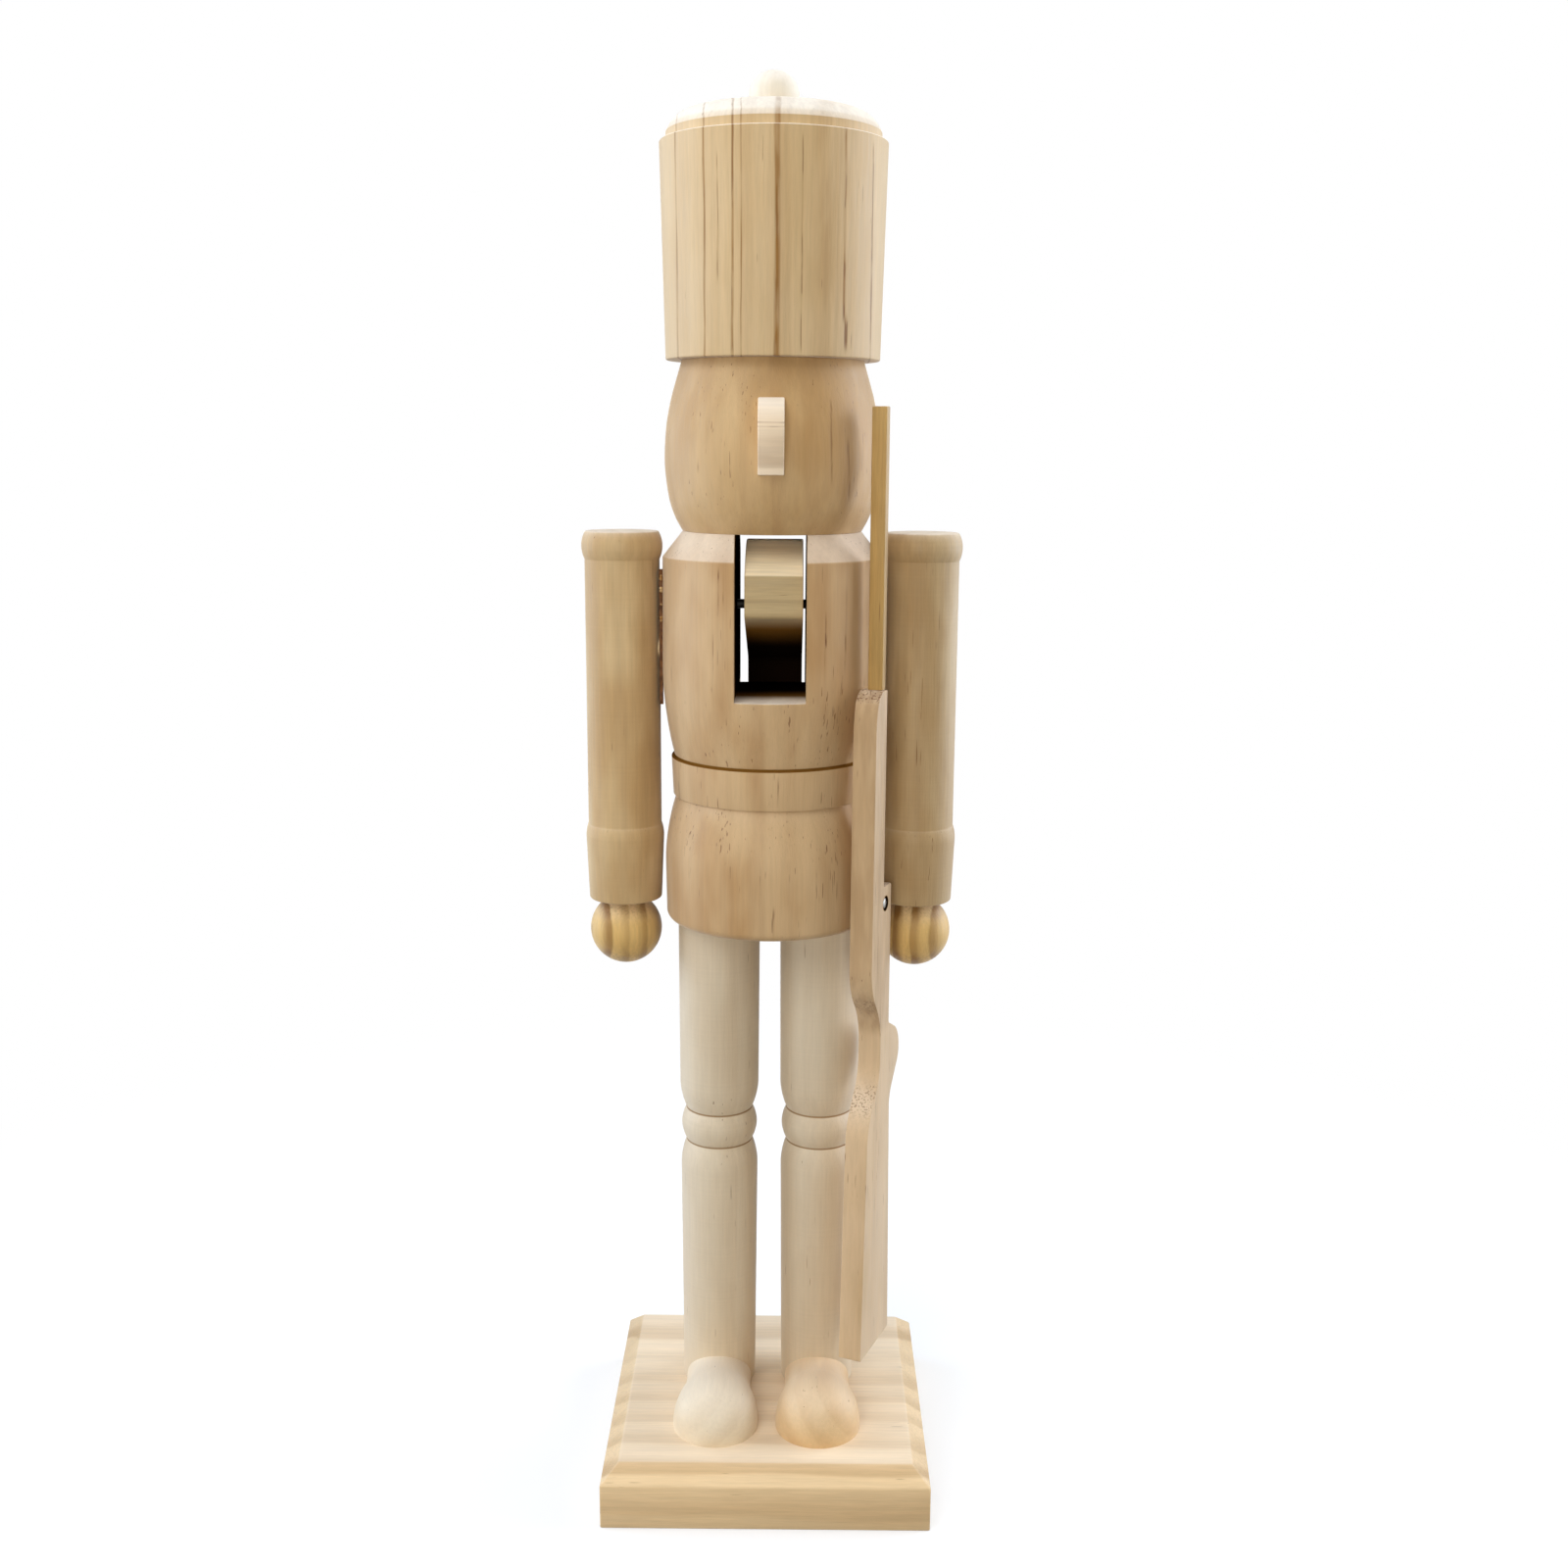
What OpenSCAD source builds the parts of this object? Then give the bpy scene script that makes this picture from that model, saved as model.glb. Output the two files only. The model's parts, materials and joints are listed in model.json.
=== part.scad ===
// Bare wooden nutcracker soldier: turned pine pieces on a square board, with a rifle at its left side.
// The jaw lever turns on a steel pin in the chest. Lifting its tail behind the body lowers the jaw.
// Millimetres. Z is up, the figure faces -Y, and the origin is the middle of the underside of the base.
// Left and right are the figure's own, so its left is +X.

/* [Base] */
// Side of the square base board
base_w = 89; // [84:0.5:110]
// Height of the upright edge of the base
base_edge_h = 12.6; // [9:0.1:18]
// Height of the bevel round the top of the base
base_bevel_h = 4.5; // [2:0.1:7]
// Width of that bevel, seen from above
base_bevel_w = 4.8; // [2:0.1:7]
// How far the figure's axis stands behind the middle of the base
figure_back = 7; // [0:0.5:10]

/* [Legs] */
// Length of a leg between the base and the skirt
leg_len = 140.3; // [125:0.1:160]
// Diameter at the top of a leg
leg_top_d = 22.9; // [20:0.1:25]
// Diameter of a leg above its knee
thigh_d = 22.3; // [20:0.1:25]
// Diameter of a leg below its knee
calf_d = 22; // [20:0.1:25]
// Diameter at the foot of a leg
ankle_d = 20.9; // [18:0.1:24]
// Height of the middle of the knee bead above the base
knee_up = 78.9; // [60:0.1:95]
// Height of the knee bead between its two grooves
knee_bead_h = 9.6; // [6:0.1:14]
// Diameter of the knee bead
knee_bead_d = 21.5; // [20:0.1:24]
// Diameter at the bottom of the knee grooves
knee_groove_d = 19.8; // [17:0.1:20]
// Height over which a leg draws in to each groove
knee_draw = 7.6; // [4:0.1:12]
// Least gap between the two legs or the two shoes
stance_gap = 4.9; // [2:0.1:8]

/* [Shoes] */
// Diameter of the round toe of a shoe
shoe_toe_d = 23.7; // [21:0.1:27]
// Diameter of the neck of a shoe, at the leg
shoe_neck_d = 18.6; // [15:0.1:20]
// Reach of a shoe in front of its leg's axis
shoe_len = 40.3; // [36:0.1:43]
// Height of a shoe's turning axis above the base
shoe_lift = 1.2; // [0:0.1:3]

/* [Body] */
// Height of the skirt below the belt
skirt_h = 35.2; // [30:0.1:45]
// Greatest diameter of the skirt
skirt_d = 58.5; // [54:0.1:64]
// Diameter at the lower edge of the skirt
skirt_low_d = 57.7; // [52:0.1:62]
// Radius of the skirt's rounded lower edge
skirt_round = 2.5; // [1:0.1:4]
// Height over which the skirt draws in to the belt
skirt_draw = 18.6; // [10:0.1:24]
// Diameter of the waist, just below the belt
waist_d = 51.8; // [46:0.1:54]
// Height of the belt
belt_h = 10.7; // [8:0.1:14]
// Diameter of the belt at its lower edge
belt_low_d = 53.7; // [50:0.1:57]
// Diameter of the belt at its upper edge
belt_top_d = 54.7; // [51:0.1:58]
// Height of the chest above the belt
chest_h = 60.9; // [56:0.1:70]
// Diameter of the chest where it meets the belt
chest_low_d = 52.8; // [48:0.1:56]
// Greatest diameter of the chest
chest_d = 59.5; // [56:0.1:66]
// Height over which the chest swells out above the belt
chest_draw = 24.6; // [16:0.1:32]
// Diameter at the lower edge of the sloping shoulders
shoulder_d = 58.9; // [54:0.1:64]
// Height of the sloping shoulders
shoulder_h = 6.9; // [4:0.1:10]
// Diameter of the neck, where head and body meet
neck_d = 48; // [44:0.1:52]

/* [Jaw slot] */
// Width of the slot through the chest
slot_w = 18.6; // [16:0.1:22]
// Depth of the slot below the neck
slot_depth = 42.8; // [40:0.1:48]
// Distance of the back channel's front wall behind the axis
channel_back = 13.6; // [11:0.1:16]

/* [Jaw lever] */
// Gap on each side between the lever and the slot, with the lever in the middle
jaw_side_gap = 1.75; // [0.5:0.05:2.5]
// Share of that gap by which the lever sits nearer to the figure's left
jaw_aside = 0.48; // [0:0.02:0.8]
// Diameter of the steel pivot pin
pin_d = 2.5; // [2:0.1:4]
// Depth of the pin's axis below the neck
pin_drop = 19.6; // [18:0.1:22]
// How far the pin runs into the cheek at its blind end
pin_bite = 13; // [8:0.5:16]
// Radial gap between the pin and the lever
pin_gap = 0.06; // [0.02:0.01:0.1]
// Radial gap between the pin and the chest
pin_grip_gap = 0.02; // [0.01:0.01:0.05]
// How far the pin's driven end lies below the side of the chest
pin_recess = 1.5; // [0.5:0.1:4]
// How far the jaw's front face lies behind the front of the chest
jaw_inset = 3.7; // [1:0.1:8]
// Height of the jaw's lip above the pin
lip_up = 9.4; // [6:0.1:12]
// Height of the jaw's front face
jaw_face_h = 10.8; // [8:0.1:14]
// Distance in front of the pin where the sloping top of the jaw ends
jaw_top_front = 6; // [2:0.1:10]
// Radius of the jaw's lower front edge
jaw_round = 3; // [1:0.1:5]
// Gap between the lever's round shoulder and the head above it
head_gap = 1.3; // [1:0.1:2]
// Gap to the head left by the lever's heel, where the turned lever stops
stop_gap = 0.7; // [0.4:0.1:0.9]
// Height of the lever's elbow above the floor of the slot
elbow_up = 6.4; // [4:0.1:9]
// Gap between the tail and the channel's wall, where the lever rests
tail_gap = 0.4; // [0.3:0.1:1]
// Height of the straight part of the tail below the elbow
tail_straight = 14; // [10:0.5:20]
// Thickness of the lever's tail below the elbow
tail_t = 12.6; // [9:0.1:15]
// Thickness of the lever's tail at its end
tail_end_t = 10.6; // [8:0.1:13]
// How far the end of the tail stands out further back than the elbow
tail_flare = 6.5; // [3:0.1:9]
// Height of the end of the tail above the skirt's lower edge
tail_up = 8; // [3:0.1:14]
// Angle that the lever turns through from rest to its stop
jaw_swing = 52; // [40:1:54]

/* [Head and nose] */
// Height of the head
head_h = 44.4; // [38:0.1:50]
// Greatest diameter of the head
head_d = 57.4; // [54:0.1:62]
// Height of that greatest diameter above the neck
head_wide_up = 18.6; // [12:0.1:24]
// Fullness of the head's curve below that height, 2 for an even bend
jaw_bend = 2.4; // [1.5:0.1:3]
// Fullness of the head's curve above that height, 2 for an even bend
brow_bend = 1.7; // [1.5:0.1:3]
// Diameter at the top of the head
head_top_d = 48.1; // [42:0.1:52]
// Width of the nose
nose_w = 6.6; // [5:0.1:9]
// Height of the nose
nose_h = 19.1; // [15:0.1:22]
// Height of the lower end of the nose above the neck
nose_up = 15.2; // [10:0.1:18]
// How far the ridge of the nose stands out from the widest part of the head
nose_out = 4.6; // [3:0.1:7]
// Height of the ridge's furthest point above the lower end of the nose
nose_peak = 11.5; // [8:0.1:13]
// How far the ridge falls back from there to its top end
nose_top_draw = 5.6; // [3:0.1:6]
// How far the ridge falls back from there to its lip
nose_low_draw = 2.4; // [1:0.1:3]
// Height of the plain lip below the ridge
nose_lip = 1.7; // [1:0.1:4]
// Depth of the nose's tongue inside the head, from the widest part of the head
nose_let = 7; // [6:0.1:9]

/* [Hat] */
// Height of the hat's side, up to the rim
hat_h = 54.4; // [46:0.1:62]
// Diameter of the hat at its lower edge
hat_low_d = 56.5; // [52:0.1:62]
// Diameter of the hat at its rim
hat_rim_d = 59.2; // [55:0.1:66]
// Diameter of the crown above the rim
crown_d = 55.8; // [50:0.1:58]
// Height of the plain band below the rounded edge of the crown
crown_band_h = 2.4; // [1:0.1:5]
// Radius of the crown's rounded edge
crown_round = 5; // [3:0.1:8]
// Rise of the gently domed top inside that edge
crown_rise = 1; // [0.5:0.1:4]
// Diameter of the ball knob on top
knob_d = 12.2; // [10:0.1:15]
// Height of the ball's middle above its seat on the crown
knob_up = 3.4; // [2:0.1:4.5]
// Diameter of the tenon under the knob
knob_tenon_d = 5; // [3:0.1:7]
// Length of that tenon
knob_tenon_l = 9; // [6:0.5:14]

/* [Arms and hands] */
// Length of an arm from its top to the lower edge of the cuff
arm_len = 101.5; // [90:0.5:112]
// Depth of the top of an arm below the neck
arm_drop = 0.2; // [0:0.1:4]
// Least gap between an arm and the body
arm_gap = 0.1; // [0.1:0.05:1]
// Diameter of the sleeve
sleeve_d = 19.6; // [17:0.1:22]
// Diameter of the bead at the shoulder
arm_bead_d = 21.8; // [20:0.1:24]
// Height of the bead at the shoulder
arm_bead_h = 7.5; // [5:0.1:11]
// Height of the cuff
cuff_h = 21.4; // [16:0.1:28]
// Height of the slope from the sleeve out to the cuff
cuff_slope_h = 3.8; // [2:0.1:6]
// Diameter at the top of the cuff
cuff_d = 21.7; // [20:0.1:24]
// Diameter at the lower edge of the cuff
cuff_low_d = 20.1; // [18:0.1:22]
// Diameter of a hand, which is a ball
hand_d = 19.9; // [17:0.1:22]
// Height cut off the top of the ball, where it meets the cuff
hand_flat = 1; // [0.5:0.1:2]

/* [Rifle] */
// Turn of the rifle's side away from the figure's middle plane
rifle_turn = 22.5; // [15:0.5:30]
// Gap between the stock and the widest part of the body
stock_gap = 0.05; // [0.05:0.05:0.6]
// Thickness of the flat stock
stock_t = 6.4; // [5:0.1:8]
// Height of the stock's top above the nail
fore_up = 58.4; // [50:0.1:66]
// Distance of the fore stock's front edge in front of where the stock meets the body
fore_front = 14.4; // [12:0.1:17]
// How much further back the fore stock's front edge lies at its top
fore_taper = 0.6; // [0:0.1:2]
// Depth of the fore stock from front to back
fore_depth = 8.6; // [7:0.1:11]
// Height of the rounded front corner at the top of the stock
fore_round_h = 9; // [5:0.1:14]
// Height of the step at the back above the nail
step_up = 4.8; // [3:0.1:9]
// Depth of the stock below the step
lock_depth = 14.5; // [12:0.1:18]
// Depth of the top of the hump below the nail
hump_drop = 35; // [28:0.1:40]
// Height of the hump at the back
hump_h = 22; // [16:0.1:28]
// Height of the hump's rounded upper corner
hump_round_h = 9.2; // [6:0.1:12]
// Height of the hump's upright back below that corner
hump_flat_h = 2.8; // [1:0.1:4]
// How far the hump stands out behind the lock
hump_out = 9; // [5:0.1:12]
// Depth of the middle of the grip below the nail
grip_drop = 41; // [36:0.1:46]
// Height of the straight part of the grip
grip_h = 10; // [5:0.1:16]
// Height of the curve above and below the grip
grip_curve_h = 17; // [12:0.1:22]
// How far the grip is cut into the front of the stock
grip_cut = 8; // [5:0.1:9]
// How far the butt's toe stands out in front of the fore stock
butt_toe = 4.2; // [1:0.1:7]
// How far the butt's upper end stands out in front of the fore stock
butt_heel = 1; // [0:0.1:3]
// Depth of the butt at its lower end
butt_depth = 22.6; // [18:0.1:26]
// Depth of the butt at its upper end
butt_top_depth = 17; // [15:0.1:20]
// Gap between the butt and the base
butt_clear = 20.4; // [10:0.1:30]
// Length of the barrel above the stock
barrel_len = 72.7; // [60:0.1:80]
// Width of the barrel, a square-cut stick
barrel_w = 4.1; // [3.4:0.1:5]
// Depth of the barrel from front to back
barrel_t = 2.6; // [2.4:0.1:4]
// Distance of the barrel from the stock's outer side
barrel_in = 0.55; // [0:0.05:1]
// Diameter of the round tenon under the barrel
barrel_tenon_d = 1.8; // [1.4:0.1:2.2]
// Length of that tenon
barrel_tenon_l = 12; // [8:0.5:16]

/* [Fastenings] */
// Radial gap round a glued dowel or tenon
glue_gap = 0.05; // [0.02:0.01:0.15]
// Spare depth at the bottom of a dowel hole
hole_spare = 0.5; // [0.3:0.1:1.5]
// Diameter of the two dowels between head and body
neck_dowel_d = 6; // [4:0.5:8]
// Length of those dowels
neck_dowel_l = 24; // [18:1:26]
// Diameter of the dowel between head and hat
hat_dowel_d = 10; // [6:0.5:14]
// Length of that dowel
hat_dowel_l = 30; // [20:1:40]
// Diameter of the dowels between legs and body
leg_dowel_d = 8; // [5:0.5:10]
// Length of those dowels
leg_dowel_l = 36; // [24:1:44]
// Diameter of the dowels between arms and body
arm_dowel_d = 6; // [4:0.5:8]
// Depth of those dowels in the body, and in the arm
arm_dowel_bite = 8; // [6:0.5:9]
// Depth of those dowels below the pivot pin
arm_dowel_drop = 12; // [9:0.5:15]
// Diameter of the dowels between hands and cuffs
hand_dowel_d = 5; // [3:0.5:7]
// Length of those dowels
hand_dowel_l = 18; // [12:1:22]
// Diameter of the shank of the screws through the base
screw_d = 4; // [3:0.1:5]
// Diameter of their countersunk heads
screw_head_d = 8; // [6:0.1:10]
// Length of those screws
screw_l = 40; // [30:1:50]
// Depth of their heads below the underside of the base
screw_sink = 0.6; // [0.3:0.1:2]
// Diameter of the shank of the nail in the rifle
nail_d = 1.6; // [1.2:0.1:2.2]
// Diameter of its head
nail_head_d = 3; // [2.4:0.1:4]
// Thickness of its head
nail_head_t = 0.8; // [0.5:0.1:1.2]
// Length of the nail
nail_l = 22; // [18:1:26]
// Height of the nail above the skirt's lower edge
nail_up = 8.2; // [5:0.1:12]
// Distance of the nail in front of where the stock meets the body
nail_front = 4.2; // [3:0.1:8]

/* [Hidden] */
$fn = 96;
// Straight steps in one curved stretch of an outline
curve_steps = 10;
// How far a cutting solid runs past the face that it opens
over = 1;
left = 1;
right = -1;

// Heights of the seams between the stacked pieces
base_top = base_edge_h + base_bevel_h;
hip_z = base_top + leg_len;
body_h = skirt_h + belt_h + chest_h;
neck_z = hip_z + body_h;
hat_z = neck_z + head_h;
crown_h = crown_band_h + crown_round + crown_rise;
crown_z = hat_z + hat_h + crown_h;
floor_z = neck_z - slot_depth;
pin_z = neck_z - pin_drop;
cuff_z = neck_z - arm_drop - arm_len;
nail_z = hip_z + nail_up;

// Places of the pieces that stand beside the axis
leg_x = (max(leg_top_d, thigh_d, calf_d, shoe_toe_d) + stance_gap) / 2;
body_r = max(chest_d, skirt_d, skirt_low_d, shoulder_d) / 2;
arm_x = max(chest_d + sleeve_d, max(skirt_d, skirt_low_d) + cuff_d, shoulder_d + arm_bead_d) / 2 + arm_gap;
neck_dowel_x = (slot_w + neck_d) / 4;
arm_dowel_z = pin_z - arm_dowel_drop;
fore_y = -fore_front;
fore_back = fore_y + fore_depth;
// The stock lies against the skirt, its fore part beside the chest, and the barrel clears the head
barrel_n = head_d / 2 + barrel_w + barrel_in - stock_t;
chest_n = sqrt(pow(chest_d / 2, 2) - pow(min(fore_back, 0), 2));
stock_x = max(skirt_d / 2, skirt_low_d / 2, chest_n, barrel_n) + stock_gap;
// A square that reaches past the body on every side
reach = body_r + tail_flare;

// Jaw lever, measured from the pin
jaw_w = slot_w - 2 * jaw_side_gap;
jaw_x = jaw_aside * jaw_side_gap;
jaw_y = -(chest_d / 2 - jaw_inset);
lever_r = pin_drop - head_gap;
stop_r = pin_drop - stop_gap;
elbow = [channel_back + tail_gap, floor_z - pin_z + elbow_up];
tail_end_z = hip_z + tail_up - pin_z;
jaw_under_z = lip_up - jaw_face_h;

// Rifle edges, measured from where the stock meets the body, forwards negative
lock_back = fore_y + lock_depth;
butt_y = fore_y - butt_toe;
butt_bottom = base_top + butt_clear;
fore_top = nail_z + fore_up;
hump_top = nail_z - hump_drop;
grip_z = nail_z - grip_drop;

// Outline points from [r1, z1] to [r2, z2], leaving the first upright and bending in, without the first
function draw_in(r1, r2, z1, z2, power = 2) =
    [for (i = [1 : curve_steps]) let (t = i / curve_steps)
        [r1 + (r2 - r1) * pow(t, power), z1 + (z2 - z1) * t]];

// Outline points from [r1, z1] to [r2, z2], bending out and reaching the second upright
function swell(r1, r2, z1, z2, power = 2) =
    [for (i = [0 : curve_steps]) let (t = i / curve_steps)
        [r2 + (r1 - r2) * pow(1 - t, power), z1 + (z2 - z1) * t]];

// Outline points of a bead that swells from r1 to r2 and draws in again
function bead(r1, r2, z1, z2) =
    let (middle = (z1 + z2) / 2)
    concat(swell(r1, r2, z1, middle), draw_in(r2, r1, middle, z2));

// Outline points of an arc about a centre
function arc(centre, radius, from, to) =
    [for (i = [0 : curve_steps]) let (a = from + (to - from) * i / curve_steps)
        centre + radius * [cos(a), sin(a)]];

// Outline points of an S-shaped curve between two points, upright at both ends
function ease(p, q) =
    [for (i = [0 : curve_steps]) let (t = i / curve_steps)
        [p[0] + (q[0] - p[0]) * (1 - cos(180 * t)) / 2, p[1] + (q[1] - p[1]) * t]];

// Radius of the lower leg at a height above the base
function calf_r_at(z) = (ankle_d + (calf_d - ankle_d) * z / (knee_up - knee_bead_h / 2 - knee_draw)) / 2;

module in_figure() {
    translate([0, figure_back, 0])
        children();
}

module turned(outline) {
    rotate_extrude()
        polygon(outline);
}

// A dowel, or the hole for one when gap and spare are given, from height z1 to z2
module dowel(d, z1, z2, gap = 0, spare = 0) {
    translate([0, 0, z1 - spare])
        cylinder(d = d + 2 * gap, h = z2 - z1 + 2 * spare);
}

// A plate in the figure's middle plane, drawn as points [y, z] and extruded evenly to both sides
module side_plate(width, outline) {
    translate([-width / 2, 0, 0])
        rotate([90, 0, 90])
            linear_extrude(width)
                polygon(outline);
}

// The pieces of the rifle are drawn with X through the stock and Y along its side
module in_rifle() {
    in_figure()
        rotate([0, 0, -rifle_turn])
            translate([stock_x, 0, 0])
                children();
}

module base_plate() {
    low = base_w / 2;
    high = low - base_bevel_w;
    color("burlywood")
        difference() {
            intersection() {
                translate([-low, -low, 0])
                    cube([base_w, base_w, base_top]);
                for_bevels(low, high);
            }
            for (side = [left, right])
                in_figure()
                    translate([side * leg_x, 0, 0])
                        screw(glue_gap, screw_sink + over);
        }
}

// The part of space inside the four bevels of the base
module for_bevels(low, high) {
    outline = [
        [-low, 0], [low, 0], [low, base_edge_h],
        [high, base_top], [-high, base_top], [-low, base_edge_h]
    ];
    intersection() {
        side_plate(base_w, outline);
        rotate([0, 0, 90])
            side_plate(base_w, outline);
    }
}

// One countersunk screw standing on its head, or its hole when gap and a longer mouth are given
module screw(gap = 0, mouth = 0) {
    head_r = screw_head_d / 2 + gap;
    shank_r = screw_d / 2 + gap;
    translate([0, 0, screw_sink])
        rotate_extrude()
            polygon([
                [0, -mouth], [head_r, -mouth], [head_r, 0], [shank_r, head_r - shank_r],
                [shank_r, screw_l + (gap > 0 ? hole_spare : 0)], [0, screw_l + (gap > 0 ? hole_spare : 0)]
            ]);
}

module base_screws() {
    color("silver")
        in_figure()
            for (side = [left, right])
                translate([side * leg_x, 0, 0])
                    screw();
}

module leg(side) {
    low_groove = knee_up - knee_bead_h / 2;
    high_groove = knee_up + knee_bead_h / 2;
    outline = concat(
        [[0, 0], [ankle_d / 2, 0], [calf_d / 2, low_groove - knee_draw]],
        draw_in(calf_d / 2, knee_groove_d / 2, low_groove - knee_draw, low_groove),
        bead(knee_groove_d / 2, knee_bead_d / 2, low_groove, high_groove),
        swell(knee_groove_d / 2, thigh_d / 2, high_groove, high_groove + knee_draw),
        [[leg_top_d / 2, leg_len], [0, leg_len]]
    );
    in_figure()
        translate([side * leg_x, 0, 0])
            difference() {
                translate([0, 0, base_top])
                    turned(outline);
                screw(glue_gap, over);
                dowel(leg_dowel_d, hip_z - leg_dowel_l / 2, hip_z + over, glue_gap, hole_spare);
            }
}

module leg_left() {
    color("wheat")
        leg(left);
}

module leg_right() {
    color("wheat")
        leg(right);
}

module leg_dowels() {
    color("blanchedalmond")
        in_figure()
            for (side = [left, right])
                translate([side * leg_x, 0, 0])
                    dowel(leg_dowel_d, hip_z - leg_dowel_l / 2, hip_z + leg_dowel_l / 2);
}

// Half of a turned pear lying on the base, hollowed at its neck to fit the leg
module shoe(side) {
    toe_r = shoe_toe_d / 2;
    toe_y = shoe_len - toe_r;
    neck_y = calf_r_at(0);
    top_z = toe_r + shoe_lift;
    outline = concat(
        [[0, 0], [shoe_neck_d / 2, 0]],
        ease([shoe_neck_d / 2, neck_y], [toe_r, toe_y]),
        arc([0, toe_y], toe_r, 0, 90)
    );
    in_figure()
        translate([side * leg_x, 0, base_top])
            difference() {
                translate([0, 0, shoe_lift])
                    rotate([90, 0, 0])
                        turned(outline);
                translate([-toe_r - over, -shoe_len - over, -top_z - over])
                    cube([shoe_toe_d + 2 * over, shoe_len + leg_top_d, top_z + over]);
                cylinder(r1 = calf_r_at(0) + glue_gap, r2 = calf_r_at(top_z) + glue_gap, h = top_z);
                translate([-toe_r - over, 0, -over])
                    cube([shoe_toe_d + 2 * over, leg_top_d, top_z + 2 * over]);
            }
}

module shoe_left() {
    color("navajowhite")
        shoe(left);
}

module shoe_right() {
    color("cornsilk")
        shoe(right);
}

// Chest, belt and skirt in one turning, slotted for the jaw and channelled at the back for its tail
module torso() {
    belt_z = skirt_h + belt_h;
    outline = concat(
        [[0, 0]],
        arc([skirt_low_d / 2 - skirt_round, skirt_round], skirt_round, -90, 0),
        [[skirt_d / 2, skirt_h - skirt_draw]],
        draw_in(skirt_d / 2, waist_d / 2, skirt_h - skirt_draw, skirt_h),
        [[belt_low_d / 2, skirt_h], [belt_top_d / 2, belt_z]],
        swell(chest_low_d / 2, chest_d / 2, belt_z, belt_z + chest_draw),
        [[shoulder_d / 2, body_h - shoulder_h], [neck_d / 2, body_h], [0, body_h]]
    );
    color("tan")
        difference() {
            in_figure()
                translate([0, 0, hip_z])
                    turned(outline);
            in_figure()
                translate([-slot_w / 2, -reach, floor_z])
                    cube([slot_w, 2 * reach, slot_depth + over]);
            in_figure()
                translate([-slot_w / 2, channel_back, hip_z - over])
                    cube([slot_w, reach, floor_z - hip_z + 2 * over]);
            in_figure()
                translate([-slot_w / 2 - pin_bite - hole_spare, 0, pin_z])
                    rotate([0, 90, 0])
                        cylinder(d = pin_d + 2 * pin_grip_gap, h = 2 * reach);
            in_figure()
                for (side = [left, right]) {
                    translate([side * leg_x, 0, 0])
                        dowel(leg_dowel_d, hip_z - over, hip_z + leg_dowel_l / 2, glue_gap, hole_spare);
                    translate([side * neck_dowel_x, 0, 0])
                        dowel(neck_dowel_d, neck_z - neck_dowel_l / 2, neck_z + over, glue_gap, hole_spare);
                }
            arm_dowel_pair(glue_gap, hole_spare);
            rifle_nail_shape(glue_gap, hole_spare);
        }
}

module pivot_pin() {
    blind = -slot_w / 2 - pin_bite;
    color("dimgray")
        in_figure()
            translate([blind, 0, pin_z])
                rotate([0, 90, 0])
                    cylinder(d = pin_d, h = chest_d / 2 - pin_recess - blind);
}

// Jaw, shoulder and tail in one piece, cut from a board and bored for the pin
module jaw_lever() {
    stop_turn = 90 - jaw_swing;
    stop = stop_r * [cos(stop_turn), sin(stop_turn)];
    tail_back = elbow[0] + tail_t;
    stop_run = (tail_back - stop[0]) / cos(jaw_swing);
    heel = stop + stop_run * [cos(jaw_swing), -sin(jaw_swing)];
    end_front = elbow[0] + tail_flare;
    end_r = tail_end_t / 2;
    outline = concat(
        arc([jaw_y + jaw_round, jaw_under_z + jaw_round], jaw_round, 270, 180),
        [[jaw_y, lip_up]],
        arc([0, 0], lever_r, acos(-jaw_top_front / lever_r), stop_turn + acos(lever_r / stop_r)),
        [stop, heel],
        arc([end_front + end_r, tail_end_z + end_r], end_r, 0, -180),
        [elbow - [0, tail_straight], elbow]
    );
    color("burlywood")
        difference() {
            in_figure()
                translate([jaw_x, 0, pin_z])
                    side_plate(jaw_w, outline);
            in_figure()
                translate([jaw_x - jaw_w / 2 - over, 0, pin_z])
                    rotate([0, 90, 0])
                        cylinder(d = pin_d + 2 * pin_gap, h = jaw_w + 2 * over);
        }
}

module head() {
    outline = concat(
        [[0, 0]],
        swell(neck_d / 2, head_d / 2, 0, head_wide_up, jaw_bend),
        draw_in(head_d / 2, head_top_d / 2, head_wide_up, head_h, brow_bend),
        [[0, head_h]]
    );
    color("tan")
        difference() {
            in_figure()
                translate([0, 0, neck_z])
                    turned(outline);
            in_figure()
                for (side = [left, right])
                    translate([side * neck_dowel_x, 0, 0])
                        dowel(neck_dowel_d, neck_z - over, neck_z + neck_dowel_l / 2, glue_gap, hole_spare);
            in_figure()
                dowel(hat_dowel_d, hat_z - hat_dowel_l / 2, hat_z + over, glue_gap, hole_spare);
            in_figure()
                translate([-nose_w / 2 - glue_gap, -reach, neck_z + nose_up - glue_gap])
                    cube([nose_w + 2 * glue_gap, reach - nose_root(), nose_h + 2 * glue_gap]);
        }
}

// Distance of the nose's inner end in front of the axis
function nose_root() = head_d / 2 - nose_let;

module head_dowels() {
    color("blanchedalmond")
        in_figure()
            for (side = [left, right])
                translate([side * neck_dowel_x, 0, 0])
                    dowel(neck_dowel_d, neck_z - neck_dowel_l / 2, neck_z + neck_dowel_l / 2);
}

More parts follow.
